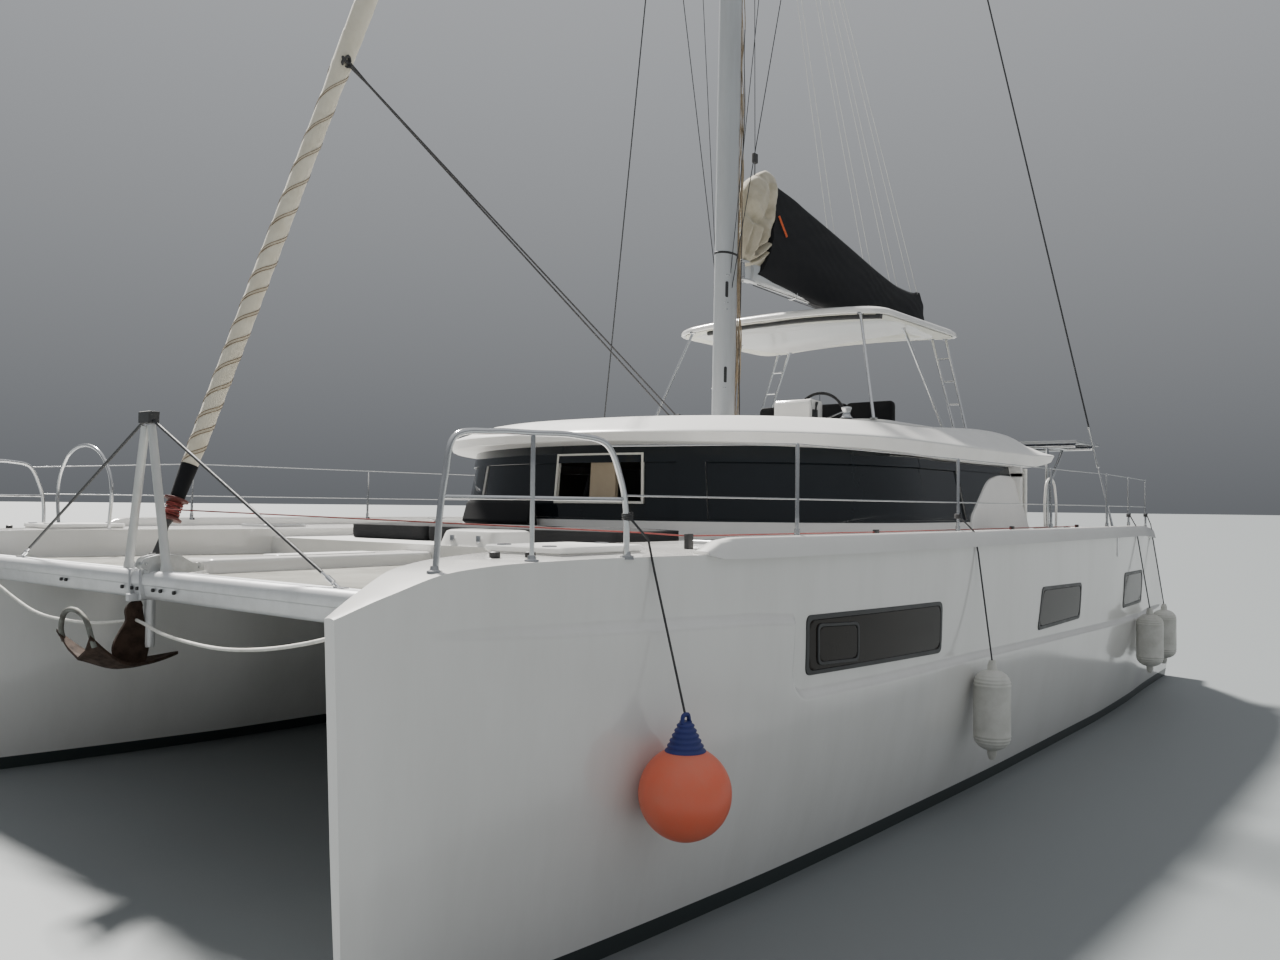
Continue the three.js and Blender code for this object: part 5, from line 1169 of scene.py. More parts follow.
RIVETS_AT = [(0.09, 3.77), (0.115, 3.77), (0.08, 4.79), (0.115, 4.79), (0.09, 4.71), (0.07, 5.12),
             (0.10, 5.12)]
slots = [
    stack(rounded(oblong(0.085, 0.122, z, z + 0.19), 0.016),
          [(0, -0.01), (0, 0.002), (0.004, 0.003)], axis=1, lie=on_mast)
    for z in (3.84, 4.86)
]
rivets = [
    stack(rounded(oblong(x, x + 0.016, z, z + 0.016), 0.007),
          [(0, -0.004), (0, 0.003), (0.004, 0.005)], axis=1, lie=on_mast)
    for x, z in RIVETS_AT
]
ring_z = 5.40
collar = stack(oval, [(-0.001, ring_z - 0.014), (-0.004, ring_z - 0.010), (-0.004, ring_z + 0.010),
                      (-0.001, ring_z + 0.014)])
collar = (collar[0] + (float(mast_x(ring_z)), 0, 0), collar[1])
piece("mast_slots", [*[mirrored(b, s) for b in slots for s in (1, -1)], collar], plastic)
piece("mast_rivets", [mirrored(b, s) for b in rivets for s in (1, -1)], steel)
tan_rope = weathered("tan_rope", "white_rope", (0.36, 0.29, 0.20), (0.16, 0.12, 0.08), 0.9, 25.0, 0.8,
                     0.5, 700)
dark_rope = weathered("dark_rope", "white_rope", (0.045, 0.045, 0.048), (0.10, 0.095, 0.09), 0.85, 25.0, 0.6,
                      0.5, 700)


def along_mast(low, high, aft, side, sway=0.008, turns=9.0):
    """Halyard close to the mast: a straight run from one height to another that sways a little to
    and fro, aft of the mast's middle and to one side."""
    z = np.linspace(low, high, int((high - low) / 0.10) + 2)
    return np.stack([mast_x(z) - aft + sway * np.sin(turns * z), side + sway * np.cos(0.7 * turns * z), z],
                    -1)


TAN_LINES = [
    (0.006, 3.35, 15.4, 0.180, 0.060), (0.006, 3.35, 12.0, 0.200, 0.040, 0.010, 6.0),
    (0.0055, 3.6, 9.6, 0.190, 0.075, 0.012, 7.5), (0.006, 3.5, 15.4, 0.185, -0.055),
    (0.0075, 3.4, 7.4, 0.165, 0.10, 0.014, 4.3), (0.008, 3.8, 6.6, 0.195, 0.07, 0.018, 5.6),
    (0.008, 3.4, 5.1, 0.175, 0.105, 0.012, 8.2),
]
DARK_LINES = [(0.006, 3.35, 8.2, 0.170, 0.108, 0.008, 5.0), (0.005, 3.4, 15.4, 0.215, 0.02, 0.003, 3.0)]
piece("tan_halyards", [bar(along_mast(*run), radius, 6) for radius, *run in TAN_LINES], tan_rope)
piece("dark_halyards", [bar(along_mast(*run), radius, 6) for radius, *run in DARK_LINES], dark_rope)


def winch(x, y, z):
    """Winch: a drum that narrows at its waist, under a wider top with a handle socket."""
    rise = np.array([0, 0.012, 0.02, 0.05, 0.085, 0.11, 0.125, 0.135, 0.140])
    size = np.array([0.075, 0.075, 0.058, 0.045, 0.047, 0.060, 0.062, 0.055, 0.020])
    return upright(x, y, z + rise, size, 28)


piece("winches", [
    winch(x, y, z) for x, out, z in ((-1.05, 0.42, 3.25), (-1.27, 1.35, 3.40)) for y in (out, -out)
], steel)
clutches = [block(-0.60, -0.40, y, y + 0.05, 3.25, 3.32, 0.012)
            for y in (0.30, 0.36, 0.42, -0.35, -0.41, -0.47)]
piece("rope_clutches", clutches, plastic)

# Boom: a deep oval extrusion on an upright pin between two fork plates, with reefing lines and bails
# under it.
boom_x = np.array([-1.25, -1.262, -1.9, -2.6, -3.2, -4.2, -5.3, -6.22, -6.27, -6.28])
boom_wide = np.interp(-boom_x, [1.25, 3.2, 6.28], [0.085, 0.095, 0.080])
boom_high = np.interp(-boom_x, [1.25, 3.2, 6.28], [0.125, 0.130, 0.105])
boom_ease = np.array([0.95, 1, 1, 1, 1, 1, 1, 1, 0.96, 0.9])


def boom_z(x):
    """Height of the boom's middle, which falls a little aft."""
    return 5.29 - 0.02 * (-1.12 - np.asarray(x, float))


flat_oval = superellipse(1.0, 1.0, 2.6, 40)
boom_rings = np.stack([
    np.broadcast_to(boom_x[:, None], (len(boom_x), 40)), (boom_wide * boom_ease)[:, None] * flat_oval[:, 0],
    boom_z(boom_x)[:, None] + (boom_high * boom_ease)[:, None] * flat_oval[:, 1],
], -1)
fork = rounded([(-1.31, -0.055), (-1.12, -0.055), (-1.065, -0.04), (-1.065, 0.04), (-1.12, 0.055),
                (-1.31, 0.055)], (0.01, 0.02, 0.03, 0.03, 0.02, 0.01))
ring_turn = angles(28)
hole = np.stack([-1.12 + 0.0126 * np.cos(ring_turn), 0.0126 * np.sin(ring_turn)], -1)
forks = [carved(stack(fork, [(0.002, a), (0, a + 0.002), (0, b - 0.002), (0.002, b)]),
                stack(hole, [(0, a - 0.01), (0, b + 0.01)]))
         for a, b in ((5.1595, 5.1795), (5.3805, 5.4005))]
piece("boom_tube", [loft(boom_rings), block(-1.31, -1.235, -0.055, 0.055, 5.16, 5.40, 0.01), *forks],
      mast_paint, rides="boom_rig", stands_for=["boom"])
reef_x = [-1.4, -2.6, -3.8, -5.0, -6.1]
under = boom_z(reef_x) - 0.13
reefs = [[(x, 0.035, z - 0.006) for x, z in zip(reef_x, under)],
         [(x, -0.03, z - 0.006 - 0.02 * np.sin(k)) for k, (x, z) in enumerate(zip(reef_x, under))]]
piece("reefing_lines", [bar(fair_path(line, 0.15), 0.006, 6) for line in reefs], dark_rope, rides="boom_rig")
BAIL = [(-0.085, 0.07), (-0.06, -0.01), (0, -0.03), (0.06, -0.01), (0.085, 0.07)]
piece("boom_bails", [
    bar(fair_path([(x, y, float(boom_z(x)) - drop + z) for y, z in BAIL], 0.02), 0.006, 8)
    for x, drop in ((-2.3, 0.13), (-4.4, 0.13), (-5.9, 0.12))
], steel, rides="boom_rig")

# Sail bag: black acrylic canvas hung between the boom's sides, with a zip along the top. The cloth
# sags and creases from the points that carry it, and is drawn up steeply at its fore end.
canvas = woven("black_canvas", "black_canvas", (0.0075, 0.008, 0.010), (0.014, 0.015, 0.018), 320.0, 0.3,
               0.92, sheen=0.03)
BAG_KNOTS = [-6.24, -6.12, -5.9, -5.5, -5.04, -3.85, -2.84, -2.2, -1.53]
BAG_TOP = [5.86, 5.815, 5.79, 5.80, 5.865, 6.11, 6.315, 6.43, 6.50]
bag_x = np.linspace(-6.24, -1.53, 114)
bag_top = fair_line(bag_x, BAG_KNOTS, BAG_TOP)
bag_foot = boom_z(bag_x) + np.interp(bag_x, [-6.24, -3.2, -1.9, -1.53], [-0.09, -0.15, -0.09, -0.055])
round_bag = angles(64)
lift = (1 - np.cos(round_bag)) / 2
side_of = np.sin(round_bag)
body_wide = 0.165 * np.clip(np.abs(side_of), 0, 1) ** 0.55
end_pinch = 1 - 0.25 * np.clip((-5.8 - bag_x) / 0.44, 0, 1) ** 2
x_grid = np.broadcast_to(bag_x[:, None], (114, 64))
z_grid = bag_foot[:, None] + (bag_top - bag_foot)[:, None] * lift
lean = np.interp(z_grid, [5.22, 5.32, 5.62, 6.15, 6.5], [0.26, 0.13, -0.03, -0.17, -0.35])
shear = lean * np.clip((x_grid + 2.75) / 1.22, 0, 1)
slack = np.sin(2.1 * x_grid + 1.3 * np.sin(1.7 * x_grid)) + 1.6
creases = 0.0042 * slack * np.sin(5 * x_grid + 21 * z_grid + 2.6 * np.sin(2.3 * x_grid + 4 * z_grid))
creases = creases + 0.0026 * np.sin(17 * x_grid - 33 * z_grid + 3 * np.sin(4.1 * x_grid))
creases = creases + 0.006 * np.sin(2.6 * x_grid + 3 * z_grid)
creases = creases * np.sin(np.pi * lift) ** 0.6
top_heavy = 1 - 0.62 * lift**1.6
y_grid = np.sign(side_of) * (body_wide * top_heavy * end_pinch[:, None] + creases * (np.abs(side_of) > 0.05))
y_grid = np.clip(y_grid, -0.168, 0.168)
piece("sail_bag_canvas", loft(np.stack([x_grid + shear, y_grid, z_grid], -1)), canvas, rides="boom_rig",
      stands_for=["sail_bag"], sharp=60)
zip_x = np.linspace(-6.20, -1.93, 50)
zip_z = fair_line(zip_x, BAG_KNOTS, BAG_TOP) + 0.004
zip_path = np.stack([zip_x, 0 * zip_x, zip_z], -1)
piece("bag_zip", sweep(zip_path, superellipse(0.006, 0.018, 3.0, 12), flat=(0, 1, 0)), black_trim,
      rides="boom_rig", slot="black_canvas")
orange_web = weathered("orange_webbing", "orange_vinyl", (0.62, 0.11, 0.03), (0.35, 0.07, 0.03), 0.8, 20.0,
                       0.4, 0.4, 500)
web_path = [(-1.735, 0.140, 6.07), (-1.80, 0.156, 5.95), (-1.89, 0.164, 5.83)]
piece("bag_webbing", sweep(web_path, superellipse(0.006, 0.02, 3.0, 12), flat=(0, 1, 0)), orange_web,
      rides="boom_rig")

# Folded mainsail: cream cloth flaked in deep folds in front of the bag, its head drawn up in a lobe.
cream_cloth = woven("cream_cloth", "sailcloth", (0.50, 0.455, 0.355), (0.24, 0.20, 0.135), 200.0, 0.2, 0.8)
FOLD_LINES = (
    (-1.06, 6.02, -1.42, 5.88, 0.060, -0.095), (-1.42, 5.92, -1.62, 6.20, 0.050, -0.055),
    (-1.20, 6.18, -1.36, 6.36, 0.13, 0.060), (-1.64, 6.00, -1.70, 6.46, 0.050, 0.045),
    (-1.56, 6.02, -1.60, 6.44, 0.026, -0.045), (-1.30, 5.86, -1.52, 5.90, 0.040, 0.040),
    (-1.15, 5.82, -1.05, 5.46, 0.032, 0.055), (-1.22, 5.84, -1.12, 5.50, 0.020, -0.085),
    (-1.32, 5.82, -1.22, 5.55, 0.034, 0.055), (-1.41, 5.80, -1.32, 5.60, 0.018, -0.080),
    (-1.49, 5.84, -1.44, 5.68, 0.030, 0.045), (-1.24, 5.50, -1.62, 5.76, 0.018, -0.080),
    (-1.23, 5.45, -1.62, 5.70, 0.026, 0.055), (-1.22, 5.405, -1.60, 5.64, 0.014, -0.075),
    (-1.21, 5.365, -1.54, 5.57, 0.026, 0.050), (-1.12, 5.40, -1.20, 5.50, 0.024, 0.045),
)


def folds(x, z):
    """Height of the cloth's folds at points of its side: for each line a ridge or a hollow, full on
    the line, that fades with the distance from it as a bell curve does."""
    height = 0.004 * np.sin(31 * x + 17 * z) + 0.003 * np.sin(47 * z - 23 * x)
    for x0, z0, x1, z1, width, rise in FOLD_LINES:
        long = (x1 - x0) ** 2 + (z1 - z0) ** 2
        share = np.clip(((x - x0) * (x1 - x0) + (z - z0) * (z1 - z0)) / long, 0, 1)
        away = np.hypot(x - x0 - share * (x1 - x0), z - z0 - share * (z1 - z0))
        height = height + rise * np.exp(-((away / width) ** 2))
    return height


cloth_z = np.concatenate([[5.335, 5.345], np.linspace(5.36, 6.58, 130), [6.615, 6.635, 6.645]])
front_edge = fair_line(cloth_z, [5.335, 5.37, 5.46, 5.6, 6.1, 6.25, 6.40, 6.52, 6.60, 6.645],
                       [-1.34, -1.19, -1.11, -1.085, -1.085, -1.10, -1.19, -1.36, -1.50, -1.60])
back_edge = fair_line(cloth_z, [5.335, 5.37, 5.5, 5.64, 5.9, 6.2, 6.45, 6.57, 6.62, 6.645],
                      [-1.42, -1.50, -1.60, -1.66, -1.72, -1.80, -1.86, -1.83, -1.76, -1.68])
half_thick = fair_line(cloth_z, [5.335, 5.37, 5.5, 5.8, 6.1, 6.35, 6.55, 6.62, 6.645],
                       [0.02, 0.065, 0.10, 0.115, 0.115, 0.105, 0.07, 0.04, 0.012])
round_cloth = angles(150)
across = np.cos(round_cloth)
out = np.sign(np.sin(round_cloth)) * np.abs(np.sin(round_cloth)) ** 0.62
cloth_deep = ((front_edge - back_edge) / 2)[:, None]
cloth_x = (front_edge + back_edge)[:, None] / 2 + cloth_deep * np.sign(across) * np.abs(across) ** 0.86
cloth_rise = np.broadcast_to(cloth_z[:, None], cloth_x.shape)
fullness = np.clip(half_thick[:, None] / 0.09, 0, 1)
cloth_y = out * (half_thick[:, None] + folds(cloth_x, cloth_rise) * fullness * np.abs(out))
widest = 0.118 + 0.5 * np.clip(-1.09 - cloth_x, 0, 0.10)
cloth_y = np.clip(cloth_y, -widest, widest)
cloth_x = np.where(np.abs(cloth_y) > 0.05, np.minimum(cloth_x, -1.088), cloth_x)
piece("mainsail_folds", loft(np.stack([cloth_x, cloth_y, cloth_rise], -1)), cream_cloth, rides="boom_rig",
      stands_for=["mainsail_stack"], sharp=75)
slides = [block(-1.062, -1.035, -0.018, 0.018, z, z + 0.045, 0.006)
          for z in (5.66, 5.75, 5.84, 5.93, 6.02, 6.11)]
piece("sail_slides", slides, white_rope, rides="boom_rig", slot="white_vinyl")
lazy = [bar([(x, side * 0.05, z), (-1.12, side * 0.008, 13.4)], 0.0034, 6)
        for side in (1, -1) for x, z in ((-3.35, 6.20), (-4.45, 5.97), (-5.35, 5.80), (-6.1, 5.80))]
piece("lazy_jacks", lazy, white_rope, rides="boom_rig")
piece("main_halyard", [
    bar([(-1.345, 0.02, 6.78), (-1.10, 0.012, 21.6)], 0.0045, 6),
    bar([(-1.405, -0.02, 6.78), (-1.14, -0.012, 21.6)], 0.0045, 6),
    bar([(-1.375, 0, 6.50), (-1.375, 0, 6.70)], 0.007, 8),
    block(-1.42, -1.33, -0.024, 0.024, 6.68, 6.80, 0.02),
], dark_rope, rides="boom_rig")


# Headsail: rolled on its furling foil, cream cloth with two beige tapes that wind up it between brown
# seams, a black tack sleeve, and a red-brown spool below that holds the furling line.
STAY_LOW, STAY_HIGH = np.array([6.151, 0, 1.890]), np.array([float(mast_x(20.9)) + 0.2, 0, 20.92])


def on_stay(z):
    """Points of the forestay at the given heights."""
    share = (np.asarray(z, float)[:, None] - STAY_LOW[2]) / (STAY_HIGH[2] - STAY_LOW[2])
    return STAY_LOW + (STAY_HIGH - STAY_LOW) * share


def roll_radius(z):
    """Radius of the rolled sail at a height."""
    return fair_line(z, [2.3865, 2.6, 2.8, 4.0, 5.6, 5.95, 7, 10, 14, 18, 20],
                     [.045, .054, .062, .068, .071, .082, .089, .100, .088, .060, .028])


LAPS = [2.58, 2.72, 2.87, 3.02, 3.19, 3.38, 3.55, 3.74, 3.93, 4.11, 4.32, 4.55, 4.80, 5.07, 5.36, 5.68, 6.0,
        20.0]


def winding(z):
    """How far the two tapes have wound round the roll at a height: half a turn from each lap to the next."""
    return np.pi * np.interp(z, LAPS, [*range(17), 70])


roll_z = np.concatenate([np.linspace(2.3865, 6.2, 260), np.linspace(6.22, 20.0, 260)])
roll_turn = angles(28)
phase = ((roll_turn[None, :] - winding(roll_z)[:, None]) / np.pi) % 1.0
edge = 1 + 0.05 * (0.5 - phase) + 0.012 * np.sin(5 * roll_turn[None, :] + 7 * roll_z[:, None])
circle = np.stack([np.cos(roll_turn), np.sin(roll_turn)], -1)
roll_sections = (roll_radius(roll_z)[:, None] * 0.985 * edge)[..., None] * circle[None]
cream_sail = woven("cream_sail", "sailcloth", (0.72, 0.67, 0.55), (0.52, 0.46, 0.34), 150.0, 0.15, 0.7)
piece("furled_headsail", sweep(on_stay(roll_z), roll_sections, flat=(0, 1, 0)), cream_sail,
      stands_for=["furled_genoa"], sharp=70)
strip_z = np.linspace(2.63, 5.80, 560)
stay_run = (STAY_HIGH - STAY_LOW) / np.linalg.norm(STAY_HIGH - STAY_LOW)
stay_side, stay_front = np.array([0, 1.0, 0]), np.cross([0, 1.0, 0], stay_run)


def wound(start, low, high, proud):
    """Flat ribbon up the roll, between two distances along the stay from the tape's middle line."""
    wind = winding(strip_z) + start
    radial = np.cos(wind)[:, None] * stay_side - np.sin(wind)[:, None] * stay_front
    helix = on_stay(strip_z) + radial * (roll_radius(strip_z) * 1.008)[:, None]
    corners = [(low, -0.004), (low, proud), (high, proud), (high, -0.004)]
    return loft(np.stack([helix + stay_run * a + radial * b for a, b in corners], 1))


beige_tape = woven("beige_tape", "sailcloth", (0.60, 0.53, 0.41), (0.42, 0.35, 0.25), 260.0, 0.2, 0.8)
brown_seam = woven("brown_seam", "sailcloth", (0.23, 0.17, 0.11), (0.13, 0.10, 0.07), 400.0, 0.2, 0.85)
piece("luff_tapes", [wound(s, -0.014, 0.014, 0.0015) for s in (0, np.pi)], beige_tape, sharp=60)
piece("tape_seams", [wound(s, a - 0.0035, a + 0.0035, 0.0032) for s in (0, np.pi) for a in (-0.014, 0.014)],
      brown_seam, sharp=60)
sleeve_z = np.linspace(2.3868, 2.62, 20)
sleeve_sections = (roll_radius(sleeve_z) * 1.05 + 0.002)[:, None, None] * circle[None]
piece("tack_sleeve", sweep(on_stay(sleeve_z), sleeve_sections, flat=(0, 1, 0)), canvas)
toggle = [*[bar([(6.1515, y, 1.93), (6.14, y, 2.00)], 0.007, 10) for y in (0.03, -0.03)],
          bar(on_stay([1.985, 2.0, 2.06, 2.20, 2.2345]), [0.012, 0.026, 0.022, 0.018, 0.030], 16),
          bar([(6.1515, -0.045, 1.935), (6.1515, 0.045, 1.935)], 0.011, 12),
          bar([(6.128, -0.04, 2.0), (6.128, 0.04, 2.0)], 0.011, 12)]
piece("stay_toggle", toggle, wire_black)
piece("forestay_wire", bar(on_stay([1.9503, 10, 20.89]), 0.008, 10), steel, stands_for=["forestay"])
drum_z = np.array([2.2355, 2.238, 2.251, 2.254, 2.27, 2.35, 2.366, 2.369, 2.382, 2.3845])
drum_r = np.array([0.075, 0.082, 0.082, 0.070, 0.046, 0.046, 0.070, 0.082, 0.082, 0.075])
red_paint = weathered("drum_red", "drum_red", (0.12, 0.026, 0.021), (0.045, 0.02, 0.018), 0.45, 15.0, 0.6,
                      0.2, 200)
piece("furling_drum", bar(on_stay(drum_z), drum_r, 36), red_paint, stands_for=["furler_drum"])
red_rope = weathered("red_rope", "white_rope", (0.22, 0.04, 0.035), (0.10, 0.03, 0.03), 0.85, 25.0, 0.6,
                     0.5, 700)
coil_turn = np.linspace(0, 2 * np.pi * 9, 280)
coil_z = 2.272 + 0.074 * (0.5 - 0.5 * np.cos(coil_turn / 9 * 2))
coil_out = np.cos(coil_turn)[:, None] * stay_front + np.sin(coil_turn)[:, None] * stay_side
coil = on_stay(coil_z) + 0.054 * coil_out
furling_route = [(6.09, 0.055, 2.31), (5.5, 1.25, 2.268), (4.62, 3.02, 2.205), (4.40, 3.26, 2.185),
                 (2.0, 3.34, 2.18), (-1.0, 3.36, 2.18), (-3.2, 3.35, 2.18)]
piece("furling_line", [bar(coil, 0.0045, 6), bar(furling_route, 0.0045, 6)], red_rope)
guides = [block(x - 0.03, x + 0.03, y - 0.02, y + 0.02, 2.10, 2.20, 0.015)
          for x, y in ((4.40, 3.27), (2.0, 3.34), (-1.0, 3.36), (-3.2, 3.35))]
piece("line_guides", guides, plastic)

# Headsail sheets: two dark ropes knotted to the clew, led down to blocks on the coachroof.
clew = on_stay([5.87])[0] + (0.02, 0.09, 0.0)
blocks_at = [(0.80, 0.47, 3.30), (0.72, 0.33, 3.30)]
sheets = [bar([clew, clew + (np.array(q) - clew) * 0.015, clew + (np.array(q) - clew) * 0.05, q],
              [0.018, 0.018, 0.0085, 0.0085], 8)
          for q in blocks_at]
knot_turn = np.linspace(0, 4 * np.pi, 40)
knot = clew + np.stack([0.028 * np.cos(knot_turn), 0.034 * np.sin(knot_turn * 1.5),
                        0.05 * np.sin(knot_turn * 0.5)], -1)
knot_two = clew + np.stack([0.03 * np.sin(knot_turn), 0.03 * np.cos(knot_turn),
                            0.03 * np.cos(knot_turn * 1.5)], -1)
piece("headsail_sheets", [*sheets, bar(knot, 0.010, 8), bar(knot_two, 0.009, 8)], dark_rope)
sheaves = []
for x, y, z in blocks_at:
    cheek = rounded(oblong(x - 0.03, x + 0.03, z - 0.045, z + 0.04), 0.025)
    sheaves += [stack(cheek, [(0.003, y - 0.02), (0, y - 0.016), (0, y - 0.010), (0.003, y - 0.008)], axis=1),
                stack(cheek, [(0.003, y + 0.008), (0, y + 0.010), (0, y + 0.016), (0.003, y + 0.02)], axis=1),
                bar([(x, y - 0.01, z), (x, y + 0.01, z)], 0.022, 16)]
piece("sheet_blocks", sheaves, plastic)
track_at = [(0.78, -1.0, 3.262), (0.80, 0, 3.268), (0.78, 1.0, 3.262)]
piece("sheet_track", sweep(fair_path(track_at, 0.1), superellipse(0.008, 0.016, 4.0, 16), flat=(0, 0, 1)),
      aluminium)

# Shrouds: wire from straps bolted outside the topsides, with a turnbuckle above each strap.
foot, top = np.array([-2.79, 3.88, 2.06]), np.array([float(mast_x(20.9)), 0.132, 20.92])
reach_up = np.array([0, 0.0185, 0.019, 0.0415, 0.042, 0.046, 0.062, 0.066, 0.0665, 1.0])
shroud_size = np.array([0.014, 0.014, 0.009, 0.009, 0.017, 0.013, 0.013, 0.017, 0.0095, 0.0095])
pair("shroud_wire", bar(foot + (top - foot) * reach_up[7:, None], shroud_size[[8, 8, 9]], 10), wire_black)
pair("turnbuckle", bar(foot + (top - foot) * reach_up[:8, None], shroud_size[:8], 14), steel,
     stands_for=["cap_shroud"])
strap = rounded([(-2.825, 1.86), (-2.765, 1.86), (-2.755, 2.13), (-2.815, 2.13)], 0.012)
pair("chainplate", stack(strap, [(0.002, -0.004), (0, 0.002), (0, 0.006), (0.002, 0.008)], axis=1,
                         lie=on_topside), steel)

# Rails: a bent stainless pulpit on each bow, stanchions in deck sockets, wire lifelines, a return of
# the rail at the starboard bow, and a hoop at each stern. Cleats, blocks and flush hatches follow.
PULPIT = [(6.48, 3.37, 2.0), (6.43, 3.375, 2.5), (6.39, 3.39, 2.68), (6.20, 3.44, 2.712), (5.99, 3.50, 2.715),
          (5.75, 3.56, 2.715), (5.57, 3.605, 2.68), (5.47, 3.62, 2.5), (5.42, 3.625, 2.0)]
STANCHIONS = [(3.90, 3.74), (1.56, 3.83), (-0.70, 3.84), (-2.50, 3.87), (-3.80, 3.77), (-5.12, 3.65)]
posts = [bar(fair_path(PULPIT, 0.03), 0.016, 14), upright(5.99, 3.50, (2.0, 2.715), 0.012),
         bar(fair_path([(6.44, 3.375, 2.4), (5.99, 3.50, 2.4), (5.46, 3.62, 2.4)], 0.1), 0.010, 10)]
for x, y in STANCHIONS:
    base = float(hull_line(1, np.array([x]))[0]) + 0.075
    socket = base + np.array([-0.01, 0.012, 0.016, 0.06])
    posts.append(upright(x, y, (base, 2.755, 2.768, 2.773), [0.013, 0.013, 0.010, 0.004]))
    posts.append(upright(x, y, socket, [0.036, 0.034, 0.019, 0.018], 16))
for x, y in ((6.48, 3.37), (5.99, 3.50), (5.42, 3.625)):
    socket = float(hull_line(1, np.array([x]))[0]) + np.array([-0.01, 0.008, 0.012, 0.03])
    posts.append(upright(x, y, socket, [0.038, 0.036, 0.022, 0.019], 16))
lines = [bar([(5.555, 3.607, 2.672), *[(x, y, 2.765) for x, y in STANCHIONS]], 0.0045, 8),
         bar([(5.44, 3.622, 2.42), *[(x, y, 2.42) for x, y in STANCHIONS]], 0.0045, 8)]
pair("rail_tubes", posts, steel, stands_for=["rails"])
seat_rail = [(5.30, -3.60, 2.02), (5.29, -3.60, 2.64), (5.27, -3.54, 2.76), (5.22, -2.86, 2.76),
             (5.20, -2.79, 2.64), (5.19, -2.79, 2.02)]
piece("starboard_bow_rail", bar(fair_path(seat_rail, 0.03), 0.016, 14), steel)
rail_wire = weathered("rail_wire", "steel", (0.40, 0.41, 0.42), (0.25, 0.25, 0.25), 0.3, 30, 0.4, 0.3, 900,
                      Metallic=0.8)
pair("lifelines", lines, rail_wire)
hoop = [(-4.00, 2.9, 2.10), (-4.01, 2.9, 2.55), (-4.08, 2.9, 2.74), (-4.22, 2.9, 2.79), (-4.36, 2.9, 2.74),
        (-4.45, 2.9, 2.55), (-4.46, 2.9, 2.10)]
pair("boarding_hoop", bar(fair_path([(x - 0.55, y - 0.35, z) for x, y, z in hoop], 0.03), 0.016, 12), gelcoat)


def cleat(x, y, z, half=0.13):
    """Horn cleat: two feet under a bar that is thickest in its middle and lifts at its ends."""
    run = np.linspace(-1, 1, 13)
    horn = np.stack([x + half * run, y + 0 * run, z + 0.045 + 0.012 * run**2], -1)
    feet = [upright(x + s, y, (z - 0.005, z + 0.045), [0.016, 0.011]) for s in (-0.035, 0.035)]
    return together(bar(horn, 0.011 - 0.005 * np.abs(run) ** 2, 12), *feet)


pair("cleats", [cleat(0.55, 3.70, 2.105), cleat(-5.20, 3.45, 2.055)], steel)
pair("deck_blocks", [
    upright(x, y, (2.085, 2.098, 2.102, 2.128, 2.134), [0.034, 0.034, 0.028, 0.028, 0.014], 20)
    for x, y in ((5.98, 3.23), (5.83, 3.33))
], plastic)
HATCHES = [(3.42, 2.92), (1.15, 3.02), (-1.60, 3.02)]
squares = [rounded(oblong(x - 0.25, x + 0.25, y - 0.25, y + 0.25), 0.06) for x, y in HATCHES]
HATCH_RIM = [(0, 2.095), (0, 2.128), (0.004, 2.132), (0.022, 2.132), (0.026, 2.126)]
HATCH_PANE = [(0.026, 2.11), (0.026, 2.130), (0.034, 2.1335)]
pair("deck_hatch_frames", [stack(q, HATCH_RIM) for q in squares], aluminium)
pair("deck_hatch_panes", [stack(q, HATCH_PANE) for q in squares], smoked)


# Deck lids: moulded gelcoat covers with a rim and a gutter inside it, a flush lever and two hinges.
def lid(x0, x1, y0, y1):
    """Lid: eased rim, a shallow gutter inside it and a raised middle."""
    square = rounded(oblong(x0, x1, y0, y1), 0.05)
    return stack(square, [(0.006, 2.1153), (0, 2.120), (0, 2.142), (0.006, 2.149), (0.030, 2.150),
                          (0.036, 2.143), (0.046, 2.143), (0.052, 2.149), (0.07, 2.150)])


pair("locker_lid_cover", lid(5.01, 5.69, 2.82, 3.42), deck_gelcoat, rides="locker_lid",
     stands_for=["locker_lid"])
pair("engine_hatch_cover", lid(-4.94, -3.96, 2.58, 3.42), deck_gelcoat, rides="engine_hatch",
     stands_for=["engine_hatch"])
LID_FITTINGS = {
    "locker_lid": [(5.02, 5.06, 3.08, 3.16), (5.62, 5.68, 2.92, 2.98), (5.62, 5.68, 3.26, 3.32)],
    "engine_hatch": [(-4.02, -3.98, 2.96, 3.04), (-4.93, -4.87, 2.72, 2.78), (-4.93, -4.87, 3.22, 3.28)],
}
for name, places in LID_FITTINGS.items():
    pair(name + "_fittings", [block(*place, 2.146, 2.156, 0.01) for place in places], steel,
         rides=name)

# Engines: small grey diesels, each a finned block over its sump, with a rocker cover, a belt wheel
# and its cooling hoses.
grey_engine = weathered("engine_grey", "engine_paint", (0.22, 0.225, 0.23), (0.08, 0.08, 0.08), 0.45, 9.0,
                        0.6, 0.2, 150, Metallic=0.2)
ribs = [block(x, x + 0.012, 2.86, 3.14, 0.30, 0.52, 0.004) for x in np.arange(-4.72, -4.20, 0.045)]
pair("engine_block", [
    block(-4.76, -4.16, 2.88, 3.12, 0.24, 0.58, 0.03), block(-4.70, -4.22, 2.92, 3.08, 0.1503, 0.26, 0.03),
    block(-4.72, -4.20, 2.92, 3.08, 0.57, 0.68, 0.03), block(-4.60, -4.30, 2.82, 2.90, 0.36, 0.60, 0.02),
    *ribs,
    bar([(-4.165, 3.0, 0.42), (-4.13, 3.0, 0.42), (-4.12, 3.0, 0.42), (-4.085, 3.0, 0.42)],
        [0.11, 0.11, 0.06, 0.06], 28),
], grey_engine, stands_for=["engine"])
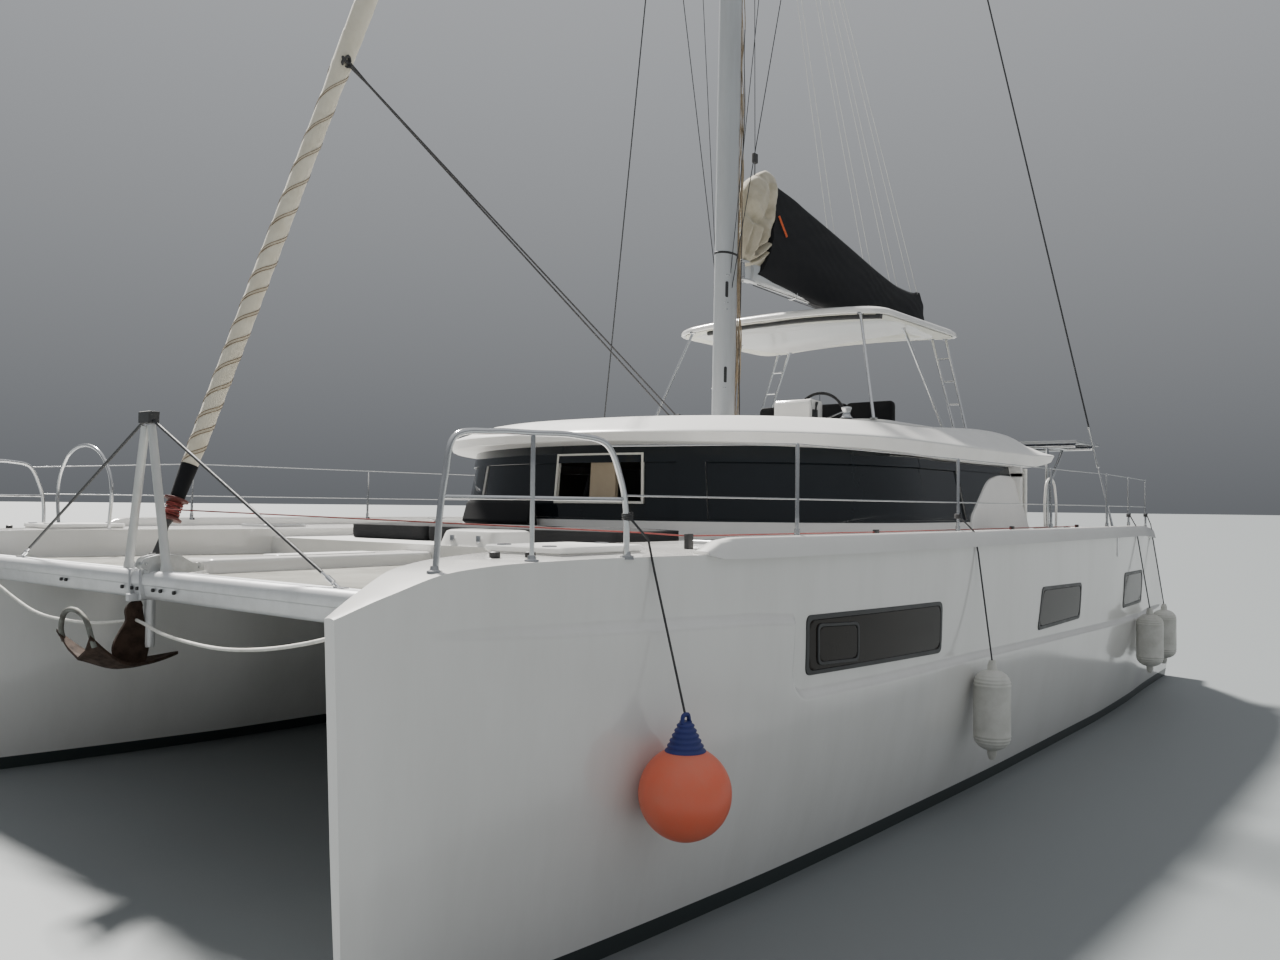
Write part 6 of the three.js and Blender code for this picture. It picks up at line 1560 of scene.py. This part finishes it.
hose = [[(-4.3, 3.10, 0.62), (-4.25, 3.17, 0.60), (-4.30, 3.18, 0.40), (-4.5, 3.17, 0.30)],
        [(-4.65, 2.95, 0.68), (-4.70, 2.88, 0.72), (-4.72, 2.84, 0.55), (-4.66, 2.84, 0.35)]]
pair("engine_hoses", [bar(fair_path(q, 0.02), 0.018, 12) for q in hose], plastic)

# Underwater gear: stub keels and rudders under dark antifouling, grey saildrive legs and bronze
# three-blade propellers.
antifouling = weathered("antifouling", "antifoul", (0.022, 0.030, 0.034), (0.07, 0.075, 0.06), 0.75, 5.0, 0.7,
                        0.4, 120)
leg_paint = weathered("leg_paint", "mast_aluminium", (0.30, 0.31, 0.32), (0.14, 0.14, 0.13), 0.5, 8.0, 0.5,
                      0.2, 150)
bronze = weathered("bronze", "bronze", (0.40, 0.25, 0.10), (0.18, 0.16, 0.10), 0.35, 14.0, 0.6, 0.2, 220,
                   Metallic=0.9)


def foil(nose, chord, half, count=26):
    """Streamlined outline in plan: the breadth rises with the square root of the distance from the
    nose and falls to a thin edge aft."""
    t = (1 - np.cos(np.linspace(0, np.pi, count))) / 2
    w = 0.2969 * np.sqrt(t) - 0.126 * t - 0.3516 * t**2 + 0.2843 * t**3 - 0.1015 * t**4
    w = np.clip(half * 2.6 * w / 0.26, 0.0015, half)
    back = nose - chord * t
    return np.concatenate([np.stack([back, w], -1), np.stack([back, -w], -1)[::-1][1:-1]])


def wing(levels, y):
    """Body through foil outlines: height, nose, chord and half-breadth of each."""
    return loft(np.stack([np.insert(foil(n, c, h) + (0, y), 2, z, axis=1) for z, n, c, h in levels]))


KEEL = [(-0.60, 1.90, 3.50, 0.185), (-0.72, 1.88, 3.48, 0.185), (-0.95, 1.74, 3.26, 0.160),
        (-1.20, 1.56, 3.00, 0.135), (-1.31, 1.48, 2.88, 0.125), (-1.34, 1.42, 2.78, 0.10),
        (-1.35, 1.38, 2.70, 0.06)]
pair("keel_fin", wing(KEEL, 3.095), antifouling, stands_for=["keel"])
pair("drive_leg", [
    wing([(-0.40, -4.40, 0.33, 0.055), (-0.70, -4.40, 0.33, 0.050), (-0.88, -4.40, 0.33, 0.048)], 3.09),
    bar([(x, 3.09, -0.88) for x in (-4.355, -4.37, -4.41, -4.60, -4.71, -4.73)],
        [0.012, 0.035, 0.058, 0.060, 0.054, 0.050], 24),
    wing([(-0.88, -4.52, 0.16, 0.012), (-1.02, -4.56, 0.11, 0.008)], 3.09),
], leg_paint, stands_for=["saildrive_leg"])
blade_s = np.linspace(0, 1, 16)[:, None]
breadth = 0.018 + 0.050 * np.sin(np.pi * np.clip(0.12 + 0.80 * blade_s, 0, 1)) ** 0.8
pitch = 1.05 - 0.75 * blade_s
lens = superellipse(1.0, 1.0, 2.0, 18)
a = lens[:, 0] * breadth
t = lens[:, 1] * (0.010 - 0.0065 * blade_s)
fore = a * np.sin(pitch) * 0.75 - t * np.cos(pitch)
aside = a * np.cos(pitch) + t * np.sin(pitch)
radial = np.broadcast_to(0.045 + 0.178 * blade_s, a.shape)
blades = []
for turn_by in 2 * np.pi * np.arange(3) / 3:
    blades.append(loft(np.stack([
        -4.795 + fore, 3.09 + radial * np.sin(turn_by) + aside * np.cos(turn_by),
        -0.88 + radial * np.cos(turn_by) - aside * np.sin(turn_by),
    ], -1)))
pair("propeller_bronze", [
    bar([(x, 3.09, -0.88) for x in (-4.7305, -4.735, -4.80, -4.84, -4.858, -4.860)],
        [0.048, 0.052, 0.050, 0.036, 0.015, 0.004], 28), *blades,
], bronze, rides="propeller", stands_for=["propeller"])
RUDDER = [(-0.385, -5.62, 0.47, 0.030), (-0.40, -5.62, 0.47, 0.041), (-0.80, -5.63, 0.44, 0.036),
          (-1.07, -5.64, 0.41, 0.031), (-1.095, -5.645, 0.39, 0.022), (-1.10, -5.65, 0.37, 0.010)]
pair("rudder_blade", [
    upright(-5.75, 3.10, (-0.45, 0.045, 0.05), [0.030, 0.030, 0.026], 20), wing(RUDDER, 3.10),
], antifouling, rides="rudder", stands_for=["rudder"])

# Stern arch: stainless tube over the cockpit's aft end, with three framed solar panels on it.
arch = [bar([(x, y, 3.25) for y in (-2.75, -2.73, 2.73, 2.75)], [0.024, 0.03, 0.03, 0.024], 16)
        for x in (-5.2, -6.0)]
for y in (2.37, -2.37):
    arch += [upright(-5.2, y, (2.0, 3.25), 0.028, 16), bar([(-5.2, y, 3.25), (-6.0, y, 3.25)], 0.028, 16),
             bar([(-5.2, y, 2.65), (-5.9, y, 3.25)], 0.022, 14),
             upright(-5.2, y, (2.03, 2.065, 2.07, 2.12), [0.06, 0.058, 0.034, 0.032], 20)]
piece("arch_tubes", arch, steel, stands_for=["stern_arch"])
cells = weathered("solar_cells", "solar", (0.008, 0.014, 0.035), (0.02, 0.03, 0.06), 0.12, 6.0, 0.3,
                  Coat_Weight=1.0, Coat_Roughness=0.03)
tree = cells.node_tree
at = node(tree, "TexCoord")
grid = node(tree, "TexBrick", [("Vector", at, "Object")], {
    "Scale": 1.0, "Brick Width": 0.158, "Row Height": 0.158, "Mortar Size": 0.0022,
    "Mortar": (0.45, 0.46, 0.48, 1),
}, offset=0.0)
shader = tree.nodes["Principled BSDF"]
tree.links.new(shader.inputs["Base Color"].links[0].from_socket, grid.inputs["Color1"])
tree.links.new(shader.inputs["Base Color"].links[0].from_socket, grid.inputs["Color2"])
tree.links.new(grid.outputs["Color"], shader.inputs["Base Color"])
PANELS = [(-2.80, -0.945), (-0.93, 0.93), (0.945, 2.80)]
piece("solar_glass", [block(-6.13, -5.10, a + 0.02, b - 0.02, 3.300, 3.316) for a, b in PANELS], cells,
      stands_for=["solar_panel"])
rims = []
for a, b in PANELS:
    rims += [(-6.15, -6.128, a, b), (-5.102, -5.08, a, b), (-6.14, -5.09, a, a + 0.022),
             (-6.14, -5.09, b - 0.022, b)]
piece("solar_frames", [block(*rim, 3.2803, 3.32, 0.004) for rim in rims], aluminium)

# Fenders: blown vinyl, each hung on its own line from a stanchion: one orange ball with a ribbed
# blue collar, and three white cylinders with ribbed ends.
orange = weathered("orange_vinyl", "orange_vinyl", (0.80, 0.16, 0.085), (0.62, 0.26, 0.18), 0.38, 3.0, 0.45,
                   0.15, 90, Subsurface_Weight=0.15)
navy = weathered("navy_vinyl", "orange_vinyl", (0.012, 0.022, 0.16), (0.02, 0.03, 0.10), 0.4, 8.0, 0.4,
                 0.2, 200)
white_vinyl = weathered("white_vinyl", "white_vinyl", (0.66, 0.655, 0.61), (0.42, 0.41, 0.36), 0.45, 5.0, 0.6,
                        0.2, 120)
FENDERS = [("forward_fender", 5.25, 0.90, 0.24, 0.0, (5.42, 3.625)),
           ("middle_fender", 1.36, 0.78, 0.145, 0.32, (1.56, 3.83)),
           ("quarter_fender", -3.85, 0.84, 0.15, 0.31, (-3.80, 3.77)),
           ("aft_fender", -5.05, 0.80, 0.145, 0.31, (-5.12, 3.65))]
for name, x, z, radius, half, (hook_x, hook_y) in FENDERS:
    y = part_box(name)[1][1] - radius
    if half == 0:
        tilt = np.linspace(-np.pi / 2, 0.36 * np.pi, 26)
        ball = upright(x, y, z + radius * np.sin(tilt), radius * np.cos(tilt) + 0.0005, 48)
        piece("fender_ball", ball, orange, stands_for=[name], sharp=60)
        cone_h = np.linspace(0, 1, 34)
        cone_r = 0.105 - 0.072 * cone_h + 0.0045 * np.sin(cone_h * 2 * np.pi * 6)
        cone_z = z + radius * 0.885 + 0.155 * cone_h
        eye = [(x - 0.03, y, cone_z[-1] - 0.01), (x - 0.02, y, cone_z[-1] + 0.03),
               (x + 0.02, y, cone_z[-1] + 0.03), (x + 0.03, y, cone_z[-1] - 0.01)]
        piece("fender_collar", [
            upright(x, y, cone_z, cone_r, 40),
            bar(fair_path(eye, 0.01), 0.011, 10),
        ], navy, sharp=60)
        top = cone_z[-1] + 0.02
    else:
        s = np.concatenate([np.linspace(-1, -0.62, 22), np.linspace(-0.6, 0.6, 8), np.linspace(0.62, 1, 22)])
        into_dome = np.clip(np.abs(s) - 0.6, 0, 1) / 0.4
        dome_r = np.where(np.abs(s) > 0.6, np.sqrt(np.clip(1 - into_dome**2.4, 0.004, 1)), 1.0)
        ridge = np.where(np.abs(s) > 0.6, 0.02 * np.sin((np.abs(s) - 0.6) * 2 * np.pi * 12), 0)
        tube = upright(x, y, z + half * s, radius * (dome_r * 0.985 + ridge * dome_r), 40)
        necks = [upright(x, y, [z + e * (half + past) for past in (-0.02, 0.03, 0.07)],
                         [radius * 0.26, radius * 0.25, radius * 0.16], 24) for e in (1, -1)]
        piece(name + "_vinyl", [tube, *necks], white_vinyl, stands_for=[name], sharp=60)
        top = z + half + 0.06
    edge_y = float(topside(np.array([x]), np.array([2.08]))[0]) + 0.012
    route = [(x, y, top), (x + (hook_x - x) * 0.1, edge_y + 0.004, 2.02),
             (x + (hook_x - x) * 0.25, edge_y - 0.02, 2.19), (hook_x, hook_y + 0.022, 2.30)]
    turn = np.linspace(0, 2 * np.pi * 3, 50)
    radius_post = 0.024 if half == 0 else 0.021
    hitch = np.stack([hook_x + radius_post * np.sin(turn), hook_y + radius_post * np.cos(turn),
                      2.295 + 0.006 * turn / np.pi], -1)
    piece(name + "_line", [bar(route, 0.0065, 8), bar(hitch, 0.0065, 8)], dark_rope)
